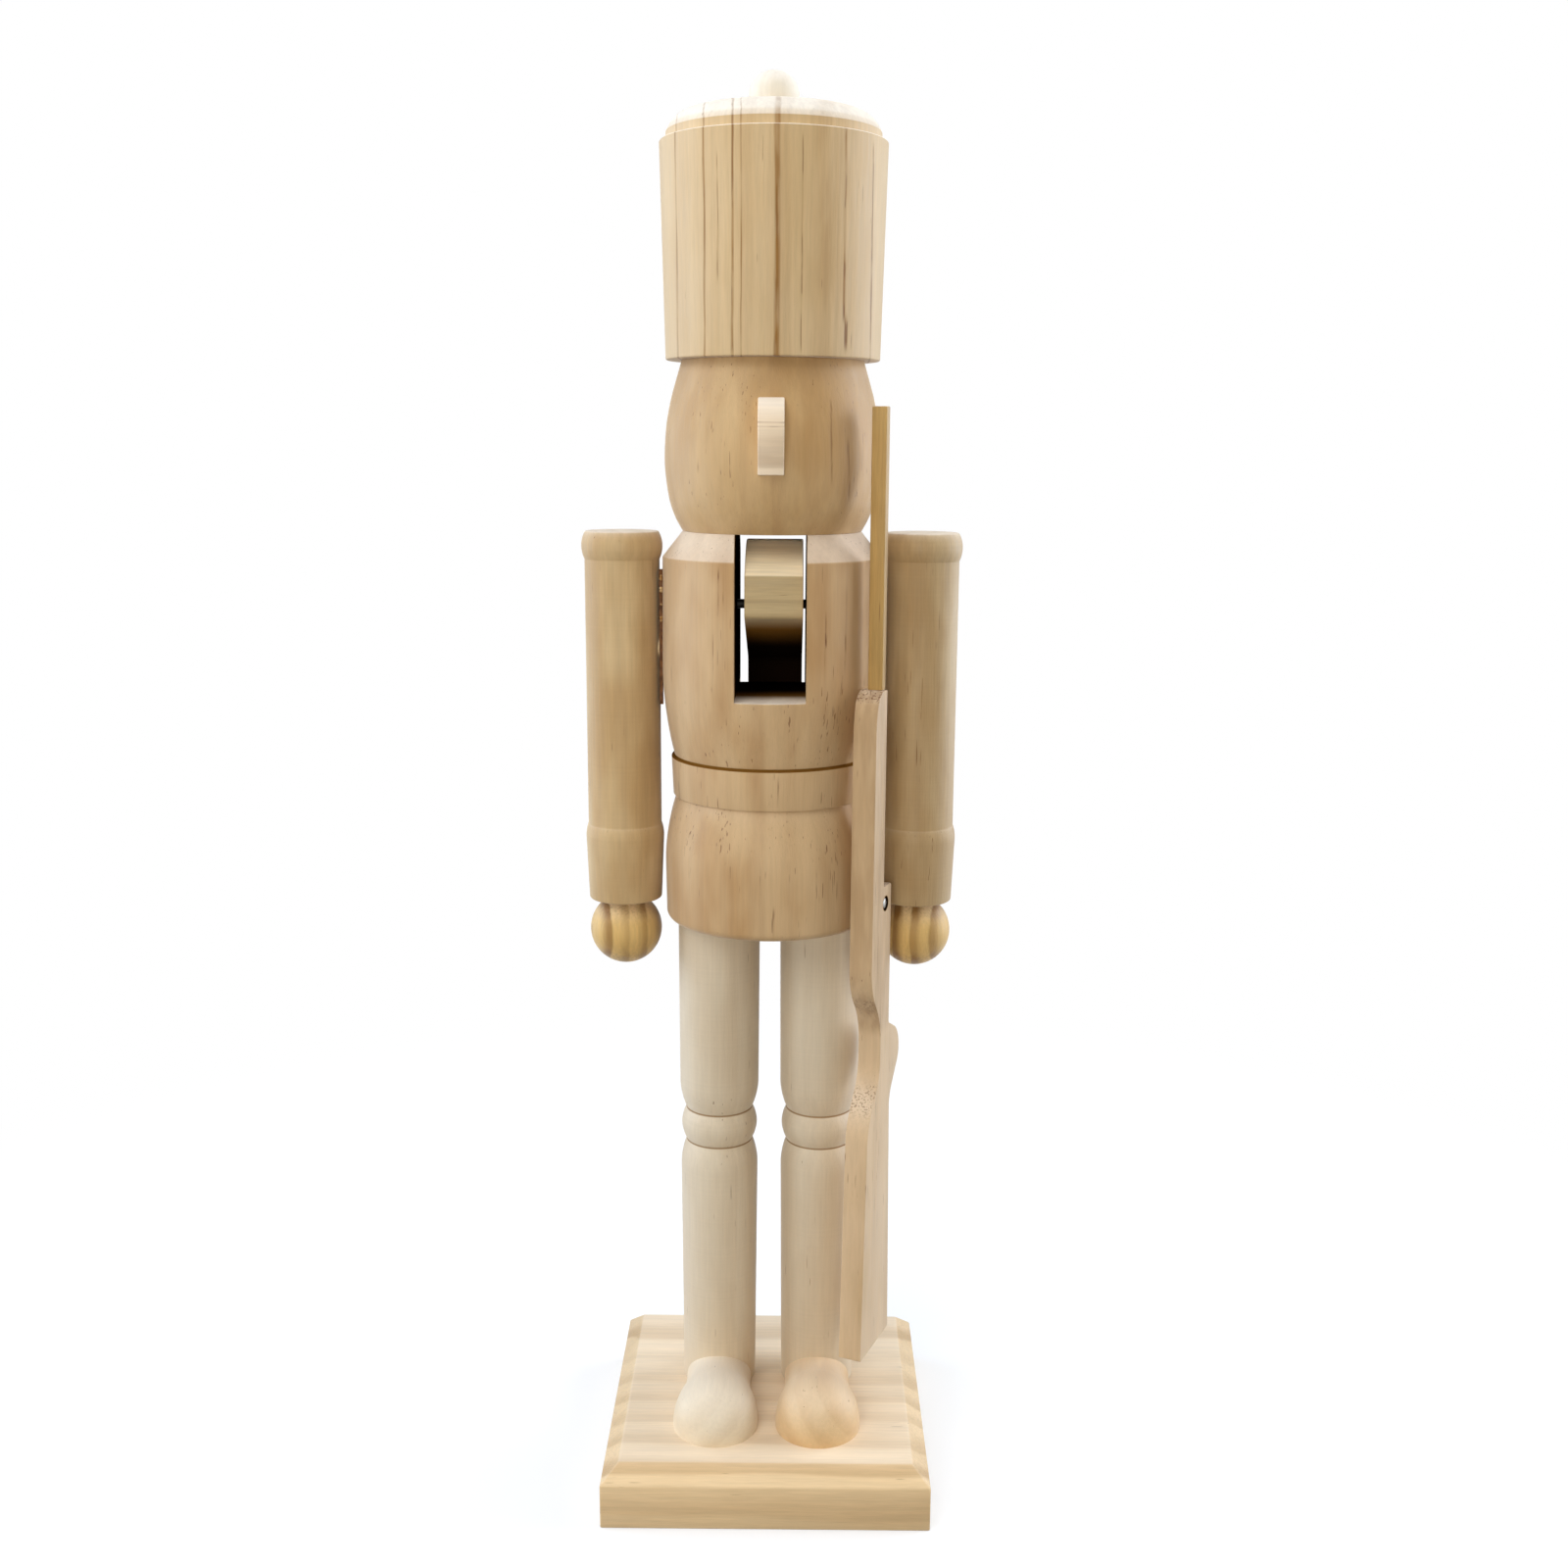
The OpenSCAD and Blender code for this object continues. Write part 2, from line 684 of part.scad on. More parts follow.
// A block let into the head, with a ridge that bows outwards
module nose() {
    ridge = -(head_d / 2 + nose_out);
    outline = concat(
        [[-nose_root(), 0], [ridge + nose_low_draw, 0]],
        swell(ridge + nose_low_draw, ridge, nose_lip, nose_peak),
        draw_in(ridge, ridge + nose_top_draw, nose_peak, nose_h),
        [[-nose_root(), nose_h]]
    );
    color("antiquewhite")
        in_figure()
            translate([0, 0, neck_z + nose_up])
                side_plate(nose_w, outline);
}

module hat() {
    crown_r = crown_d / 2;
    dome_r = crown_r - crown_round;
    round_z = hat_h + crown_band_h;
    seat_r = knob_d / 2;
    dome_span = pow(dome_r, 2) - pow(seat_r, 2);
    outline = concat(
        [[0, 0], [hat_low_d / 2, 0], [hat_rim_d / 2, hat_h], [crown_r, hat_h]],
        arc([dome_r, round_z], crown_round, 0, 90),
        [for (i = [1 : curve_steps]) let (r = dome_r + (seat_r - dome_r) * i / curve_steps)
            [r, round_z + crown_round + crown_rise * (pow(dome_r, 2) - pow(r, 2)) / dome_span]],
        [[0, hat_h + crown_h]]
    );
    color("tan")
        in_figure()
            difference() {
                translate([0, 0, hat_z])
                    turned(outline);
                dowel(hat_dowel_d, hat_z - over, hat_z + hat_dowel_l / 2, glue_gap, hole_spare);
                dowel(knob_tenon_d, crown_z - knob_tenon_l, crown_z + over, glue_gap, hole_spare);
            }
}

module hat_dowel() {
    color("blanchedalmond")
        in_figure()
            dowel(hat_dowel_d, hat_z - hat_dowel_l / 2, hat_z + hat_dowel_l / 2);
}

module hat_knob() {
    color("antiquewhite")
        in_figure()
            translate([0, 0, crown_z]) {
                intersection() {
                    translate([0, 0, knob_up])
                        sphere(d = knob_d);
                    cylinder(d = 2 * knob_d, h = knob_up + knob_d);
                }
                dowel(knob_tenon_d, -knob_tenon_l, over);
            }
}

module arm(side) {
    sleeve_r = sleeve_d / 2;
    slope_z = cuff_h - cuff_slope_h;
    outline = concat(
        [[0, 0], [cuff_low_d / 2, 0], [cuff_d / 2, slope_z]],
        draw_in(cuff_d / 2, sleeve_r, slope_z, cuff_h),
        [[sleeve_r, arm_len - arm_bead_h]],
        bead(sleeve_r, arm_bead_d / 2, arm_len - arm_bead_h, arm_len),
        [[0, arm_len]]
    );
    difference() {
        in_figure()
            translate([side * arm_x, 0, cuff_z])
                turned(outline);
        arm_dowel_pair(glue_gap, hole_spare);
        in_figure()
            translate([side * arm_x, 0, 0])
                dowel(hand_dowel_d, cuff_z - over, cuff_z + hand_dowel_l / 2, glue_gap, hole_spare);
    }
}

module arm_left() {
    color("burlywood")
        arm(left);
}

module arm_right() {
    color("burlywood")
        arm(right);
}

// The two level dowels from the chest into the arms, or their holes when gap and spare are given
module arm_dowel_pair(gap = 0, spare = 0) {
    inner = chest_d / 2 - arm_dowel_bite;
    outer = arm_x - sleeve_d / 2 + arm_dowel_bite;
    in_figure()
        for (side = [left, right])
            translate([0, 0, arm_dowel_z])
                rotate([0, side * 90, 0])
                    dowel(arm_dowel_d, inner, outer, gap, spare);
}

module arm_dowels() {
    color("blanchedalmond")
        arm_dowel_pair();
}

module hand(side) {
    hand_r = hand_d / 2;
    in_figure()
        translate([side * arm_x, 0, cuff_z])
            difference() {
                translate([0, 0, hand_flat - hand_r])
                    sphere(d = hand_d);
                cylinder(d = hand_d, h = hand_d);
                dowel(hand_dowel_d, -hand_dowel_l / 2, over, glue_gap, hole_spare);
            }
}

module hand_left() {
    color("darkkhaki")
        hand(left);
}

module hand_right() {
    color("darkkhaki")
        hand(right);
}

module hand_dowels() {
    color("blanchedalmond")
        in_figure()
            for (side = [left, right])
                translate([side * arm_x, 0, 0])
                    dowel(hand_dowel_d, cuff_z - hand_dowel_l / 2, cuff_z + hand_dowel_l / 2);
}

// A flat board sawn to the outline of a rifle stock, standing on edge with its side against the body
module rifle_stock() {
    barrel_y = fore_back - barrel_t;
    fore_low = fore_top - fore_round_h;
    grip_y = fore_y + grip_cut;
    grip_top = grip_z + grip_h / 2;
    grip_bottom = grip_z - grip_h / 2;
    butt_high_y = fore_y - butt_heel;
    step_z = nail_z + step_up;
    hump_low = hump_top - hump_round_h - hump_flat_h;
    outline = concat(
        [[butt_y, butt_bottom]],
        ease([butt_high_y, grip_bottom - grip_curve_h], [grip_y, grip_bottom]),
        ease([grip_y, grip_top], [fore_y, grip_top + grip_curve_h]),
        swell_back(fore_y + fore_taper, barrel_y, fore_low, fore_top),
        [[fore_back, fore_top], [fore_back, step_z], [lock_back, step_z]],
        swell(lock_back, lock_back + hump_out, hump_top, hump_top - hump_round_h),
        [[lock_back + hump_out, hump_low], [butt_high_y + butt_top_depth, hump_top - hump_h]],
        [[butt_y + butt_depth, butt_bottom]]
    );
    color("wheat")
        difference() {
            in_rifle()
                translate([stock_t / 2, 0, 0])
                    side_plate(stock_t, outline);
            rifle_nail_shape(glue_gap, hole_spare);
            in_rifle()
                translate([stock_t - barrel_in - barrel_w / 2, fore_back - barrel_t / 2, 0])
                    dowel(barrel_tenon_d, fore_top - barrel_tenon_l, fore_top + over, glue_gap, hole_spare);
        }
}

// Outline points of the rounded front corner at the top of the stock
function swell_back(y1, y2, z1, z2) =
    [for (i = [0 : curve_steps]) let (a = 90 * i / curve_steps)
        [y2 + (y1 - y2) * cos(a), z1 + (z2 - z1) * sin(a)]];

module rifle_barrel() {
    color("darkkhaki")
        in_rifle()
            translate([stock_t - barrel_in - barrel_w, fore_back - barrel_t, fore_top]) {
                cube([barrel_w, barrel_t, barrel_len]);
                translate([barrel_w / 2, barrel_t / 2, 0])
                    dowel(barrel_tenon_d, -barrel_tenon_l, over);
            }
}

// The nail through the stock into the skirt, or its hole when gap and spare are given
module rifle_nail_shape(gap = 0, spare = 0) {
    mouth = gap > 0 ? over : 0;
    in_rifle()
        translate([stock_t, -nail_front, nail_z])
            rotate([0, -90, 0]) {
                translate([0, 0, -mouth])
                    cylinder(d = nail_head_d + 2 * gap, h = nail_head_t + mouth);
                cylinder(d = nail_d + 2 * gap, h = nail_l + spare);
            }
}

module rifle_nail() {
    color("gray")
        rifle_nail_shape();
}

base_plate();
base_screws();
leg_left();
leg_right();
leg_dowels();
shoe_left();
shoe_right();
torso();
pivot_pin();
jaw_lever();
head();
head_dowels();
nose();
hat();
hat_dowel();
hat_knob();
arm_left();
arm_right();
arm_dowels();
hand_left();
hand_right();
hand_dowels();
rifle_stock();
rifle_barrel();
rifle_nail();
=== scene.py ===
# %% [markdown]
# # A bare wooden nutcracker
# The object is an unpainted wooden soldier, 38 cm tall: turned pieces stacked on a square board, with a
# flat rifle at one side and a jaw on a long lever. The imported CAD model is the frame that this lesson
# dresses. Every piece keeps the place and size it has there, and gets softer edges, smooth turnings and
# real wood.

# %% Load the frame
import json
from math import cos, pi, radians, sin

import bmesh
import bpy
from mathutils import Euler, Matrix, Vector

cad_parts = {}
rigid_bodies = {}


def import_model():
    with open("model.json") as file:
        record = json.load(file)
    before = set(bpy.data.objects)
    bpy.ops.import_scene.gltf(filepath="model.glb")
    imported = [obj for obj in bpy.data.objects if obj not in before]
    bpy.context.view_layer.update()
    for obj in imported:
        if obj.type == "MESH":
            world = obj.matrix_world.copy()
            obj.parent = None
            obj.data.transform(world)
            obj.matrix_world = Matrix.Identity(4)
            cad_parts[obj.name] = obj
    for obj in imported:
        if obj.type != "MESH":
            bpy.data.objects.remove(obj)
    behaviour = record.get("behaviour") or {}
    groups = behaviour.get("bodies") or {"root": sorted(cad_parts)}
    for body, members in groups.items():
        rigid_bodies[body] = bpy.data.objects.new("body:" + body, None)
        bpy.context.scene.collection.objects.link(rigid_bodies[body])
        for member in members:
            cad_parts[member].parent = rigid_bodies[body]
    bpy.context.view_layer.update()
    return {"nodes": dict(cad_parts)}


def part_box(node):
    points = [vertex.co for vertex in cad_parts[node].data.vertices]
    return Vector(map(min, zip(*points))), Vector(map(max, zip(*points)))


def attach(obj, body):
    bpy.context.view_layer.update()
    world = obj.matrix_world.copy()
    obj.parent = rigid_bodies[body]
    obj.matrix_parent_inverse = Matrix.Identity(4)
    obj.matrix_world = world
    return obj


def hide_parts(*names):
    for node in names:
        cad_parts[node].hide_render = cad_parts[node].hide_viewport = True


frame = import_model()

# %% [markdown]
# ## Measures
# A woodturner thinks in millimetres and Blender in metres, so the shapes are drawn in millimetres and
# scaled once when a piece is finished. The whole figure stands a little behind the middle of its base, and
# the heights of the seams between the stacked pieces come from the boxes of the CAD nodes.

# %% Millimetres and seams
MM = 0.001
FIGURE_BACK = 7.0


def node_box(node):
    """Lowest and highest corner of a CAD node in millimetres."""
    low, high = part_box(node)
    return low / MM, high / MM


def node_side(node):
    """How far the middle of a CAD node stands to the figure's left."""
    return sum(corner.x for corner in node_box(node)) / 2


base_top = node_box("base_plate")[1].z
hip = node_box("torso")[0].z
neck = node_box("torso")[1].z
brow = node_box("head")[1].z
crown = node_box("hat")[1].z
cuff = node_box("arm_left")[0].z
leg_side = node_side("leg_left")
arm_side = node_side("arm_left")
print("seams at", [round(seam, 1) for seam in (base_top, hip, neck, brow, crown)])

# %% [markdown]
# ## Shader values as Python expressions
# Wood is mostly arithmetic: distances from the pith, fractions of a ring, thresholds on noise. Adding each
# Math node by hand hides the idea, so one small class wraps a socket, and a plus sign between two of them
# adds the Math node. Every other node comes from its `node` method, which sets the node's options first and
# then its sockets.

# %% A class for shader values
class Shade:
    """A value in a material: sums and products of values become Math nodes."""

    def __init__(self, socket):
        self.socket = socket

    def node(self, kind, settings, sockets, output=0):
        tree = self.socket.id_data
        made = tree.nodes.new(kind)
        for setting, choice in settings.items():
            setattr(made, setting, choice)
        for name, value in sockets.items():
            if isinstance(value, Shade):
                tree.links.new(value.socket, made.inputs[name])
            else:
                made.inputs[name].default_value = value
        return Shade(made.outputs[output])

    def math(self, operation, first, second=0.0):
        return self.node("ShaderNodeMath", {"operation": operation}, {0: first, 1: second})

    def __add__(self, other):
        return self.math("ADD", self, other)

    def __sub__(self, other):
        return self.math("SUBTRACT", self, other)

    def __rsub__(self, other):
        return self.math("SUBTRACT", other, self)

    def __mul__(self, other):
        return self.math("MULTIPLY", self, other)

    def __truediv__(self, other):
        return self.math("DIVIDE", self, other)

    def __rtruediv__(self, other):
        return self.math("DIVIDE", other, self)

    __radd__ = __add__
    __rmul__ = __mul__

    def size(self):
        """This value without its sign."""
        return self.math("ABSOLUTE", self)

    def rise(self, start, end):
        """0 below start, 1 above end, with a soft change between them."""
        return self.node(
            "ShaderNodeMapRange", {"interpolation_type": "SMOOTHSTEP"}, {"Value": self, 1: start, 2: end})

    def between(self, first, second):
        """A colour: the first one where this value is 0, the second one where it is 1."""
        sockets = {"Factor": self, 6: first, 7: second}
        return self.node("ShaderNodeMix", {"data_type": "RGBA"}, sockets, output=2)

    def blend(self, amount, other):
        """This colour, changed to another one by an amount from 0 to 1."""
        return amount.between(self, other)

    def vector(self, operation, other, output=0):
        return self.node("ShaderNodeVectorMath", {"operation": operation}, {0: self, 1: other}, output)

    def length(self):
        return self.node("ShaderNodeVectorMath", {"operation": "LENGTH"}, {0: self}, output=1)

    def facing(self, way):
        """1 where this normal points along a way, 0 across it and -1 against it."""
        return self.vector("DOT_PRODUCT", way, output=1)

    def axis(self, number):
        """One coordinate of this vector: 0 is X, 1 is Y and 2 is Z."""
        return self.node("ShaderNodeSeparateXYZ", {}, {0: self}, number)

    def noise(self, grain_size, detail=2.0, output=0):
        """Noise on this vector, whose sizes are millimetres across and along the grain."""
        across, along = grain_size
        grain = self.vector("MULTIPLY", (1 / across, 1 / across, 1 / along))
        return grain.node("ShaderNodeTexNoise", {}, {"Vector": grain, "Scale": 1.0, "Detail": detail}, output)


print("a shade adds its nodes as it is used")

# %% [markdown]
# ## Starting a material
# Colours are easiest to judge as the eye sees them, from 0 to 255, but the shader works on linear light, so
# a small function converts them. Each material reads Object coordinates. All pieces sit at the origin, so
# these are the same metres that the frame uses, and the grain runs through a piece instead of being wrapped
# round it.

# %% Colours and new materials
UP = (0, 0, 1)
WHITE = (1, 1, 1, 1)


def eye(red, green, blue):
    """A colour as the eye sees it, 0 to 255, made linear for the shader."""
    linear = [(part / 255 + 0.055) / 1.055 for part in (red, green, blue)]
    return tuple(part ** 2.4 for part in linear) + (1.0,)


def new_material(name):
    """A material with its surface shader, and its Object coordinates as a shade."""
    material = bpy.data.materials.new(name)
    material.use_nodes = True
    tree = material.node_tree
    surface = tree.nodes["Principled BSDF"]
    place = Shade(tree.nodes.new("ShaderNodeTexCoord").outputs["Object"])
    return material, surface, place


def feed(surface, name, shade):
    """Link a shade to a socket."""
    shade.socket.id_data.links.new(shade.socket, surface.inputs[name])


def keep_even(surface, values):
    """Set the sockets whose values are the same all over the surface."""
    for name, value in values.items():
        surface.inputs[name].default_value = value


print("pine reads as", [round(part, 3) for part in eye(214, 184, 142)])

# %% [markdown]
# ## Growth rings
# The figure is sanded softwood without varnish. A growth ring is a shell round the pith, pale where it grew
# in spring and brown where it grew in late summer, with a sharp edge after that. A picture could be wrapped
# on, but then turned ends and saw cuts would show no end grain. So the wood is solid: the distance from a
# pith line that lies outside most pieces gives the ring, noise makes it wander, and each ring gets its own
# strength from its number.

# %% Rings round a pith
HALF = (0.5, 0.5, 0.5)


def growth_rings(board, ring, rings, wander, seed):
    """How brown a point is from late wood, and its place in the board after the wander."""
    drift = board.noise((34, 190), detail=2.5, output=1).vector("SUBTRACT", HALF)
    drift = drift.vector("MULTIPLY", (4 * wander, 4 * wander, 0))
    jitter = board.noise((3, 30), output=1).vector("SUBTRACT", HALF)
    wild = board.vector("ADD", drift).vector("ADD", jitter)
    age = wild.vector("MULTIPLY", (1, 1, 0)).length() / ring
    number = age.math("FLOOR", age)
    part = age - number
    luck = number.node("ShaderNodeTexWhiteNoise", {"noise_dimensions": "1D"}, {"W": number + seed})
    summer = rings * part.rise(0.25, 0.75) * (1 - part.rise(0.86, 1.0)) * (0.25 + 0.75 * luck)
    return summer, wild


print("rings are counted from the pith")

# %% [markdown]
# ## Lines placed one by one
# Some lines the eye picks out at once, such as the brown ones on the hat. Noise would put them anywhere, so
# they are placed one by one, along the grain, and noise only wears them down and breaks their darkest part.

# %% Placed lines
LINE_END = 4


def placed_lines(wild, board, pith, lift, lines):
    """How golden and how dark a point is, from lines at (across, low, high, width, gold, dark)."""
    across = wild.axis(0) + pith[0]
    height = board.axis(2) - lift
    worn = board.noise((2.2, 14), detail=2.0).rise(0.32, 0.62)
    broken = board.noise((1.4, 9), detail=2.0).rise(0.46, 0.60)
    golden = dark = 0.0
    for place, low, high, width, gold, depth in lines:
        line = 1 - (across - place).size().rise(0.2 * width, 0.6 * width)
        line = line * height.rise(low, low + LINE_END) * (1 - height.rise(high - LINE_END, high))
        golden = golden + gold * line * (0.45 + 0.55 * worn)
        dark = dark + depth * line * broken
    return golden, dark


print("a line fades over", LINE_END, "mm at each end")

# %% [markdown]
# ## Painted shade
# Shade is painted into some hollows and seams: brown, then black, and without any gloss. Darkening the colour
# alone would leave the shine of clean wood on it, so a second, matt shader is mixed in. Each piece that needs
# it brings a small function that says how much painted shade a point gets.

# %% Painted shade
SHADE_BROWN = eye(134, 92, 38)
SHADE_BLACK = eye(24, 14, 7)


def paint_shade(material, surface, shade_amount):
    """Mix matt painted shade over a wood, brown then black, where the amount goes from 0 on clean wood to 1 on
    black.
    """
    shade_colour = shade_amount.rise(0.15, 0.75).between(SHADE_BROWN, SHADE_BLACK)
    matt = shade_colour.node("ShaderNodeBsdfPrincipled", {}, {
        "Base Color": shade_colour, "Roughness": 1.0, "Specular IOR Level": 0.0})
    with_painted_shade = matt.node("ShaderNodeMixShader", {}, {
        0: shade_amount.rise(0.0, 0.3), 1: Shade(surface.outputs[0]), 2: matt})
    feed(material.node_tree.nodes["Material Output"], "Surface", with_painted_shade)


# The matt shader carries the painted shade.
print("scorched wood is matt")

# %% [markdown]
# ## Bare wood
# One recipe makes every wood of the figure, and each piece gives it three colours, a pith and a few strengths.
# Long thin noise makes fibres, and its highest peaks make short resin flecks. End grain shows small pits and
# stronger rings. Whatever faces up turns paler, partly because sanding left its pores dusty and partly as
# painted top light. The sanded fibres stand up a little, and a faint warm sheen stands for them at the edges
# of a turning.

# %% The wood recipe
GRAIN_TURN = {"up": (0, 0, 0), "across": (0, radians(-90), 0), "back": (radians(90), 0, 0)}
GRAIN_WAY = {"up": UP, "across": (1, 0, 0), "back": (0, 1, 0)}
SEED_STEP = 61.0
DUST_AND_TOP_LIGHT = (248, 238, 224)
RESIN = eye(108, 64, 26)
SANDED = 0.5
FUZZ = {"Specular IOR Level": 0.25, "Sheen Weight": 0.4, "Sheen Tint": (1.0, 0.88, 0.72, 1.0),
        "Sheen Roughness": 0.5}


def bare_wood(name, pale, warm, late, *, pith, ring, rings, flecks, fibre, seed, grain="up", wander=1.6,
              turning=0.0, pits=0.3, dust_and_top_light=0.3, dust_and_top_light_colour=DUST_AND_TOP_LIGHT, dust_and_top_light_facing=(0.2, 0.97), lines=(), painted_shade=None):
    """Sanded wood with its grain along one axis and growth rings round a pith, in millimetres."""
    material, surface, place = new_material(name)
    normal = Shade(place.socket.node.outputs["Normal"])
    lift = SEED_STEP * seed
    board = place.node("ShaderNodeMapping", {}, {
        "Vector": place, "Location": (-pith[0], -pith[1], lift), "Rotation": GRAIN_TURN[grain],
        "Scale": (1 / MM,) * 3})
    summer, wild = growth_rings(board, ring, rings, wander, seed)
    coarse = board.noise((0.9, 24), detail=3.0).rise(0.28, 0.72) - 0.5
    fine = board.noise((0.24, 5), detail=2.0).rise(0.25, 0.75) - 0.5
    cloud = 0.55 * board.noise((30, 95), detail=1.5) + 0.45 * board.noise((9, 26), detail=2.0)
    fleck = board.noise((0.45, 11), detail=1.0) + 0.3 * board.noise((9, 30), detail=1.0)
    fleck = 0.7 * fleck.rise(0.95 - 0.2 * flecks, 1.0 - 0.2 * flecks)
    if lines:
        golden, dark = placed_lines(wild, board, pith, lift, lines)
        summer = summer + golden
        fleck = fleck + dark
    end = normal.facing(GRAIN_WAY[grain]).size().rise(0.35, 0.8)
    pit = end * board.noise((0.6, 0.6), detail=1.0).rise(0.54, 0.62) * pits
    summer = summer * (1 + 0.8 * end)
    lathe = board.axis(2)
    lathe = lathe.node("ShaderNodeTexNoise", {"noise_dimensions": "1D"}, {"W": lathe, "Scale": 1.3}) - 0.5
    # Painted top light and dusty pores: surfaces that face up turn paler, and their rings and flecks fade.
    dust_and_top_light_mask = dust_and_top_light * normal.facing(UP).rise(*dust_and_top_light_facing)
    colour = cloud.rise(0.36, 0.64).between(eye(*pale), eye(*warm))
    colour = colour.blend(dust_and_top_light_mask, eye(*dust_and_top_light_colour))
    colour = colour.blend(summer * (1 - 0.65 * dust_and_top_light_mask), eye(*late))
    colour = colour.blend((fleck + pit) * (1 - 0.5 * dust_and_top_light_mask), RESIN)
    level = 1 + fibre * coarse + 0.6 * fibre * fine + turning * lathe
    colour = colour.node("ShaderNodeVectorMath", {"operation": "SCALE"}, {0: colour, "Scale": level})
    feed(surface, "Base Color", colour)
    feed(surface, "Roughness", SANDED + 0.12 * coarse + 0.1 * fine + 0.1 * fleck)
    relief = 0.28 * coarse + 0.22 * fine + turning * lathe - 0.9 * fleck - pit + 0.06 * summer
    bump = relief.node("ShaderNodeBump", {}, {"Height": relief, "Strength": 0.35, "Distance": 0.25 * MM})
    feed(surface, "Normal", bump)
    keep_even(surface, FUZZ)
    # Painted shade in hollows and seams, where a piece asks for it.
    if painted_shade:
        paint_shade(material, surface, painted_shade(place, normal))
    return material


print("one recipe for every board and turning")

# %% [markdown]
# ## Drawing outlines
# Most pieces start from a line: half of a turning's profile, or the outline that a saw follows. A line is
# given by its corners, and every corner has a rounding, measured along the two edges that meet there.
# Bevelling a vertex of a wire bends that corner into an arc, so a long rounding makes the slow curve of a
# chest and a short one a sanded edge.

# %% Lines with rounded corners
LONG_ROUNDING = 1


def draw_line(work, corners, closed=False):
    """A line in the XZ plane through (across, up, rounding) corners, in millimetres."""
    points = [work.verts.new((across, 0, up)) for across, up, rounding in corners]
    ends = points[1:] + points[:1] if closed else points[1:]
    for point, end in zip(points, ends):
        work.edges.new((point, end))
    for point, (across, up, rounding) in zip(points, corners):
        if rounding:
            bmesh.ops.bevel(
                work, geom=[point], affect="VERTICES", offset_type="ABSOLUTE", offset=rounding,
                segments=10 if rounding > LONG_ROUNDING else 4, profile=0.5, material=-1, clamp_overlap=True)


def turn(corners, steps):
    """A turned piece: the line is spun round the upright axis and its poles are closed."""
    work = bmesh.new()
    draw_line(work, corners)
    bmesh.ops.spin(work, geom=work.verts[:] + work.edges[:], cent=(0, 0, 0), axis=UP, angle=2 * pi,
                   steps=steps, use_merge=True)
    bmesh.ops.remove_doubles(work, verts=work.verts, dist=0.001)
    bmesh.ops.recalc_face_normals(work, faces=work.faces)
    return work


def raise_face(work, face, rise):
    """Extrude a face and move its new corners, which are given back."""
    grown = bmesh.ops.extrude_face_region(work, geom=[face])["geom"]
    corners = [part for part in grown if isinstance(part, bmesh.types.BMVert)]
    bmesh.ops.translate(work, verts=corners, vec=rise)
    return corners


print("a line bends at its corners")

# %% [markdown]
# ## Sawing and sanding
# A sawn piece is a closed line filled with a face and extruded to the thickness of the board. Sandpaper
# then takes every sharp edge, which a narrow bevel does here. It is chosen by the angle between the faces,
# so that the many small edges of a rounded outline stay as they are.

# %% Boards with soft edges
def bevel_edges(work, edges, width, segments):
    bmesh.ops.bevel(work, geom=edges, affect="EDGES", offset_type="OFFSET", offset=width, segments=segments,
                    profile=0.5, material=-1, clamp_overlap=True)


def sharp_edges(work, steepest=40):
    """The edges whose faces meet at more than an angle in degrees."""
    return [e for e in work.edges if e.is_manifold and e.calc_face_angle() > radians(steepest)]


def saw(corners, thick, edge):
    """A board from -thick/2 to thick/2 along Y, sawn to a closed line, its edges softened."""
    work = bmesh.new()
    draw_line(work, corners, closed=True)
    face = bmesh.ops.contextual_create(work, geom=work.edges[:])["faces"][0]
    bmesh.ops.translate(work, verts=work.verts, vec=(0, -thick / 2, 0))
    raise_face(work, face, (0, thick, 0))
    bmesh.ops.recalc_face_normals(work, faces=work.faces)
    bevel_edges(work, sharp_edges(work), edge, 3)
    return work


print("lines turn or saw into solids")

# %% [markdown]
# ## Finishing a piece
# A finished piece leaves the workbench in one way: its mesh is scaled to metres, shaded smooth with its real
# edges kept sharp, given its wood and tied to the body that moves it, and its CAD node is hidden.

# %% From workbench to frame
CREASE = 35


def finish_piece(name, work, wood, body="figure", stands_for=None):
    """Turn a workbench mesh in millimetres into a piece of the frame."""
    bmesh.ops.scale(work, verts=work.verts, vec=(MM, MM, MM))
    mesh = bpy.data.meshes.new(name)
    work.to_mesh(mesh)
    work.free()
    mesh.shade_smooth()
    mesh.set_sharp_from_angle(angle=radians(CREASE))
    mesh.materials.append(wood)
    piece = bpy.data.objects.new(name, mesh)
    bpy.context.collection.objects.link(piece)
    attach(piece, body)
    if stands_for:
        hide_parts(stands_for)
    print(name, "has", len(mesh.polygons), "faces")


def left_and_right(kind, side):
    """Two mirrored nodes with the places where they stand."""
    return (kind + "_left", side), (kind + "_right", -side)


print("edges sharper than", CREASE, "degrees stay sharp")

# %% [markdown]
# ## Moving, joining and cutting
# The workbench needs a few more moves. A saw cut or a drilled hole is a plain block or rod that is taken
# away with an exact Boolean, because its walls must be flat and its edges clean. A ball with a flat is a
# sphere that a level plane slices.

# %% Moves and joins
ALONG_X = Matrix.Rotation(radians(90), 4, "Y")


def move(work, x=0.0, y=FIGURE_BACK, z=0.0):
    bmesh.ops.translate(work, verts=work.verts, vec=(x, y, z))
    return work


def quarter_turn(work, axis):
    bmesh.ops.rotate(work, verts=work.verts, cent=(0, 0, 0), matrix=Matrix.Rotation(radians(90), 3, axis))
    return work


def set_by(work, matrix):
    bmesh.ops.transform(work, matrix=matrix, verts=work.verts)
    return work


def join(pile, work):
    """Add a workbench mesh to a pile of meshes that make one piece."""
    mesh = bpy.data.meshes.new("part")
    work.to_mesh(mesh)
    work.free()
    pile.from_mesh(mesh)
    bpy.data.meshes.remove(mesh)


print("pieces can be moved, turned and joined")

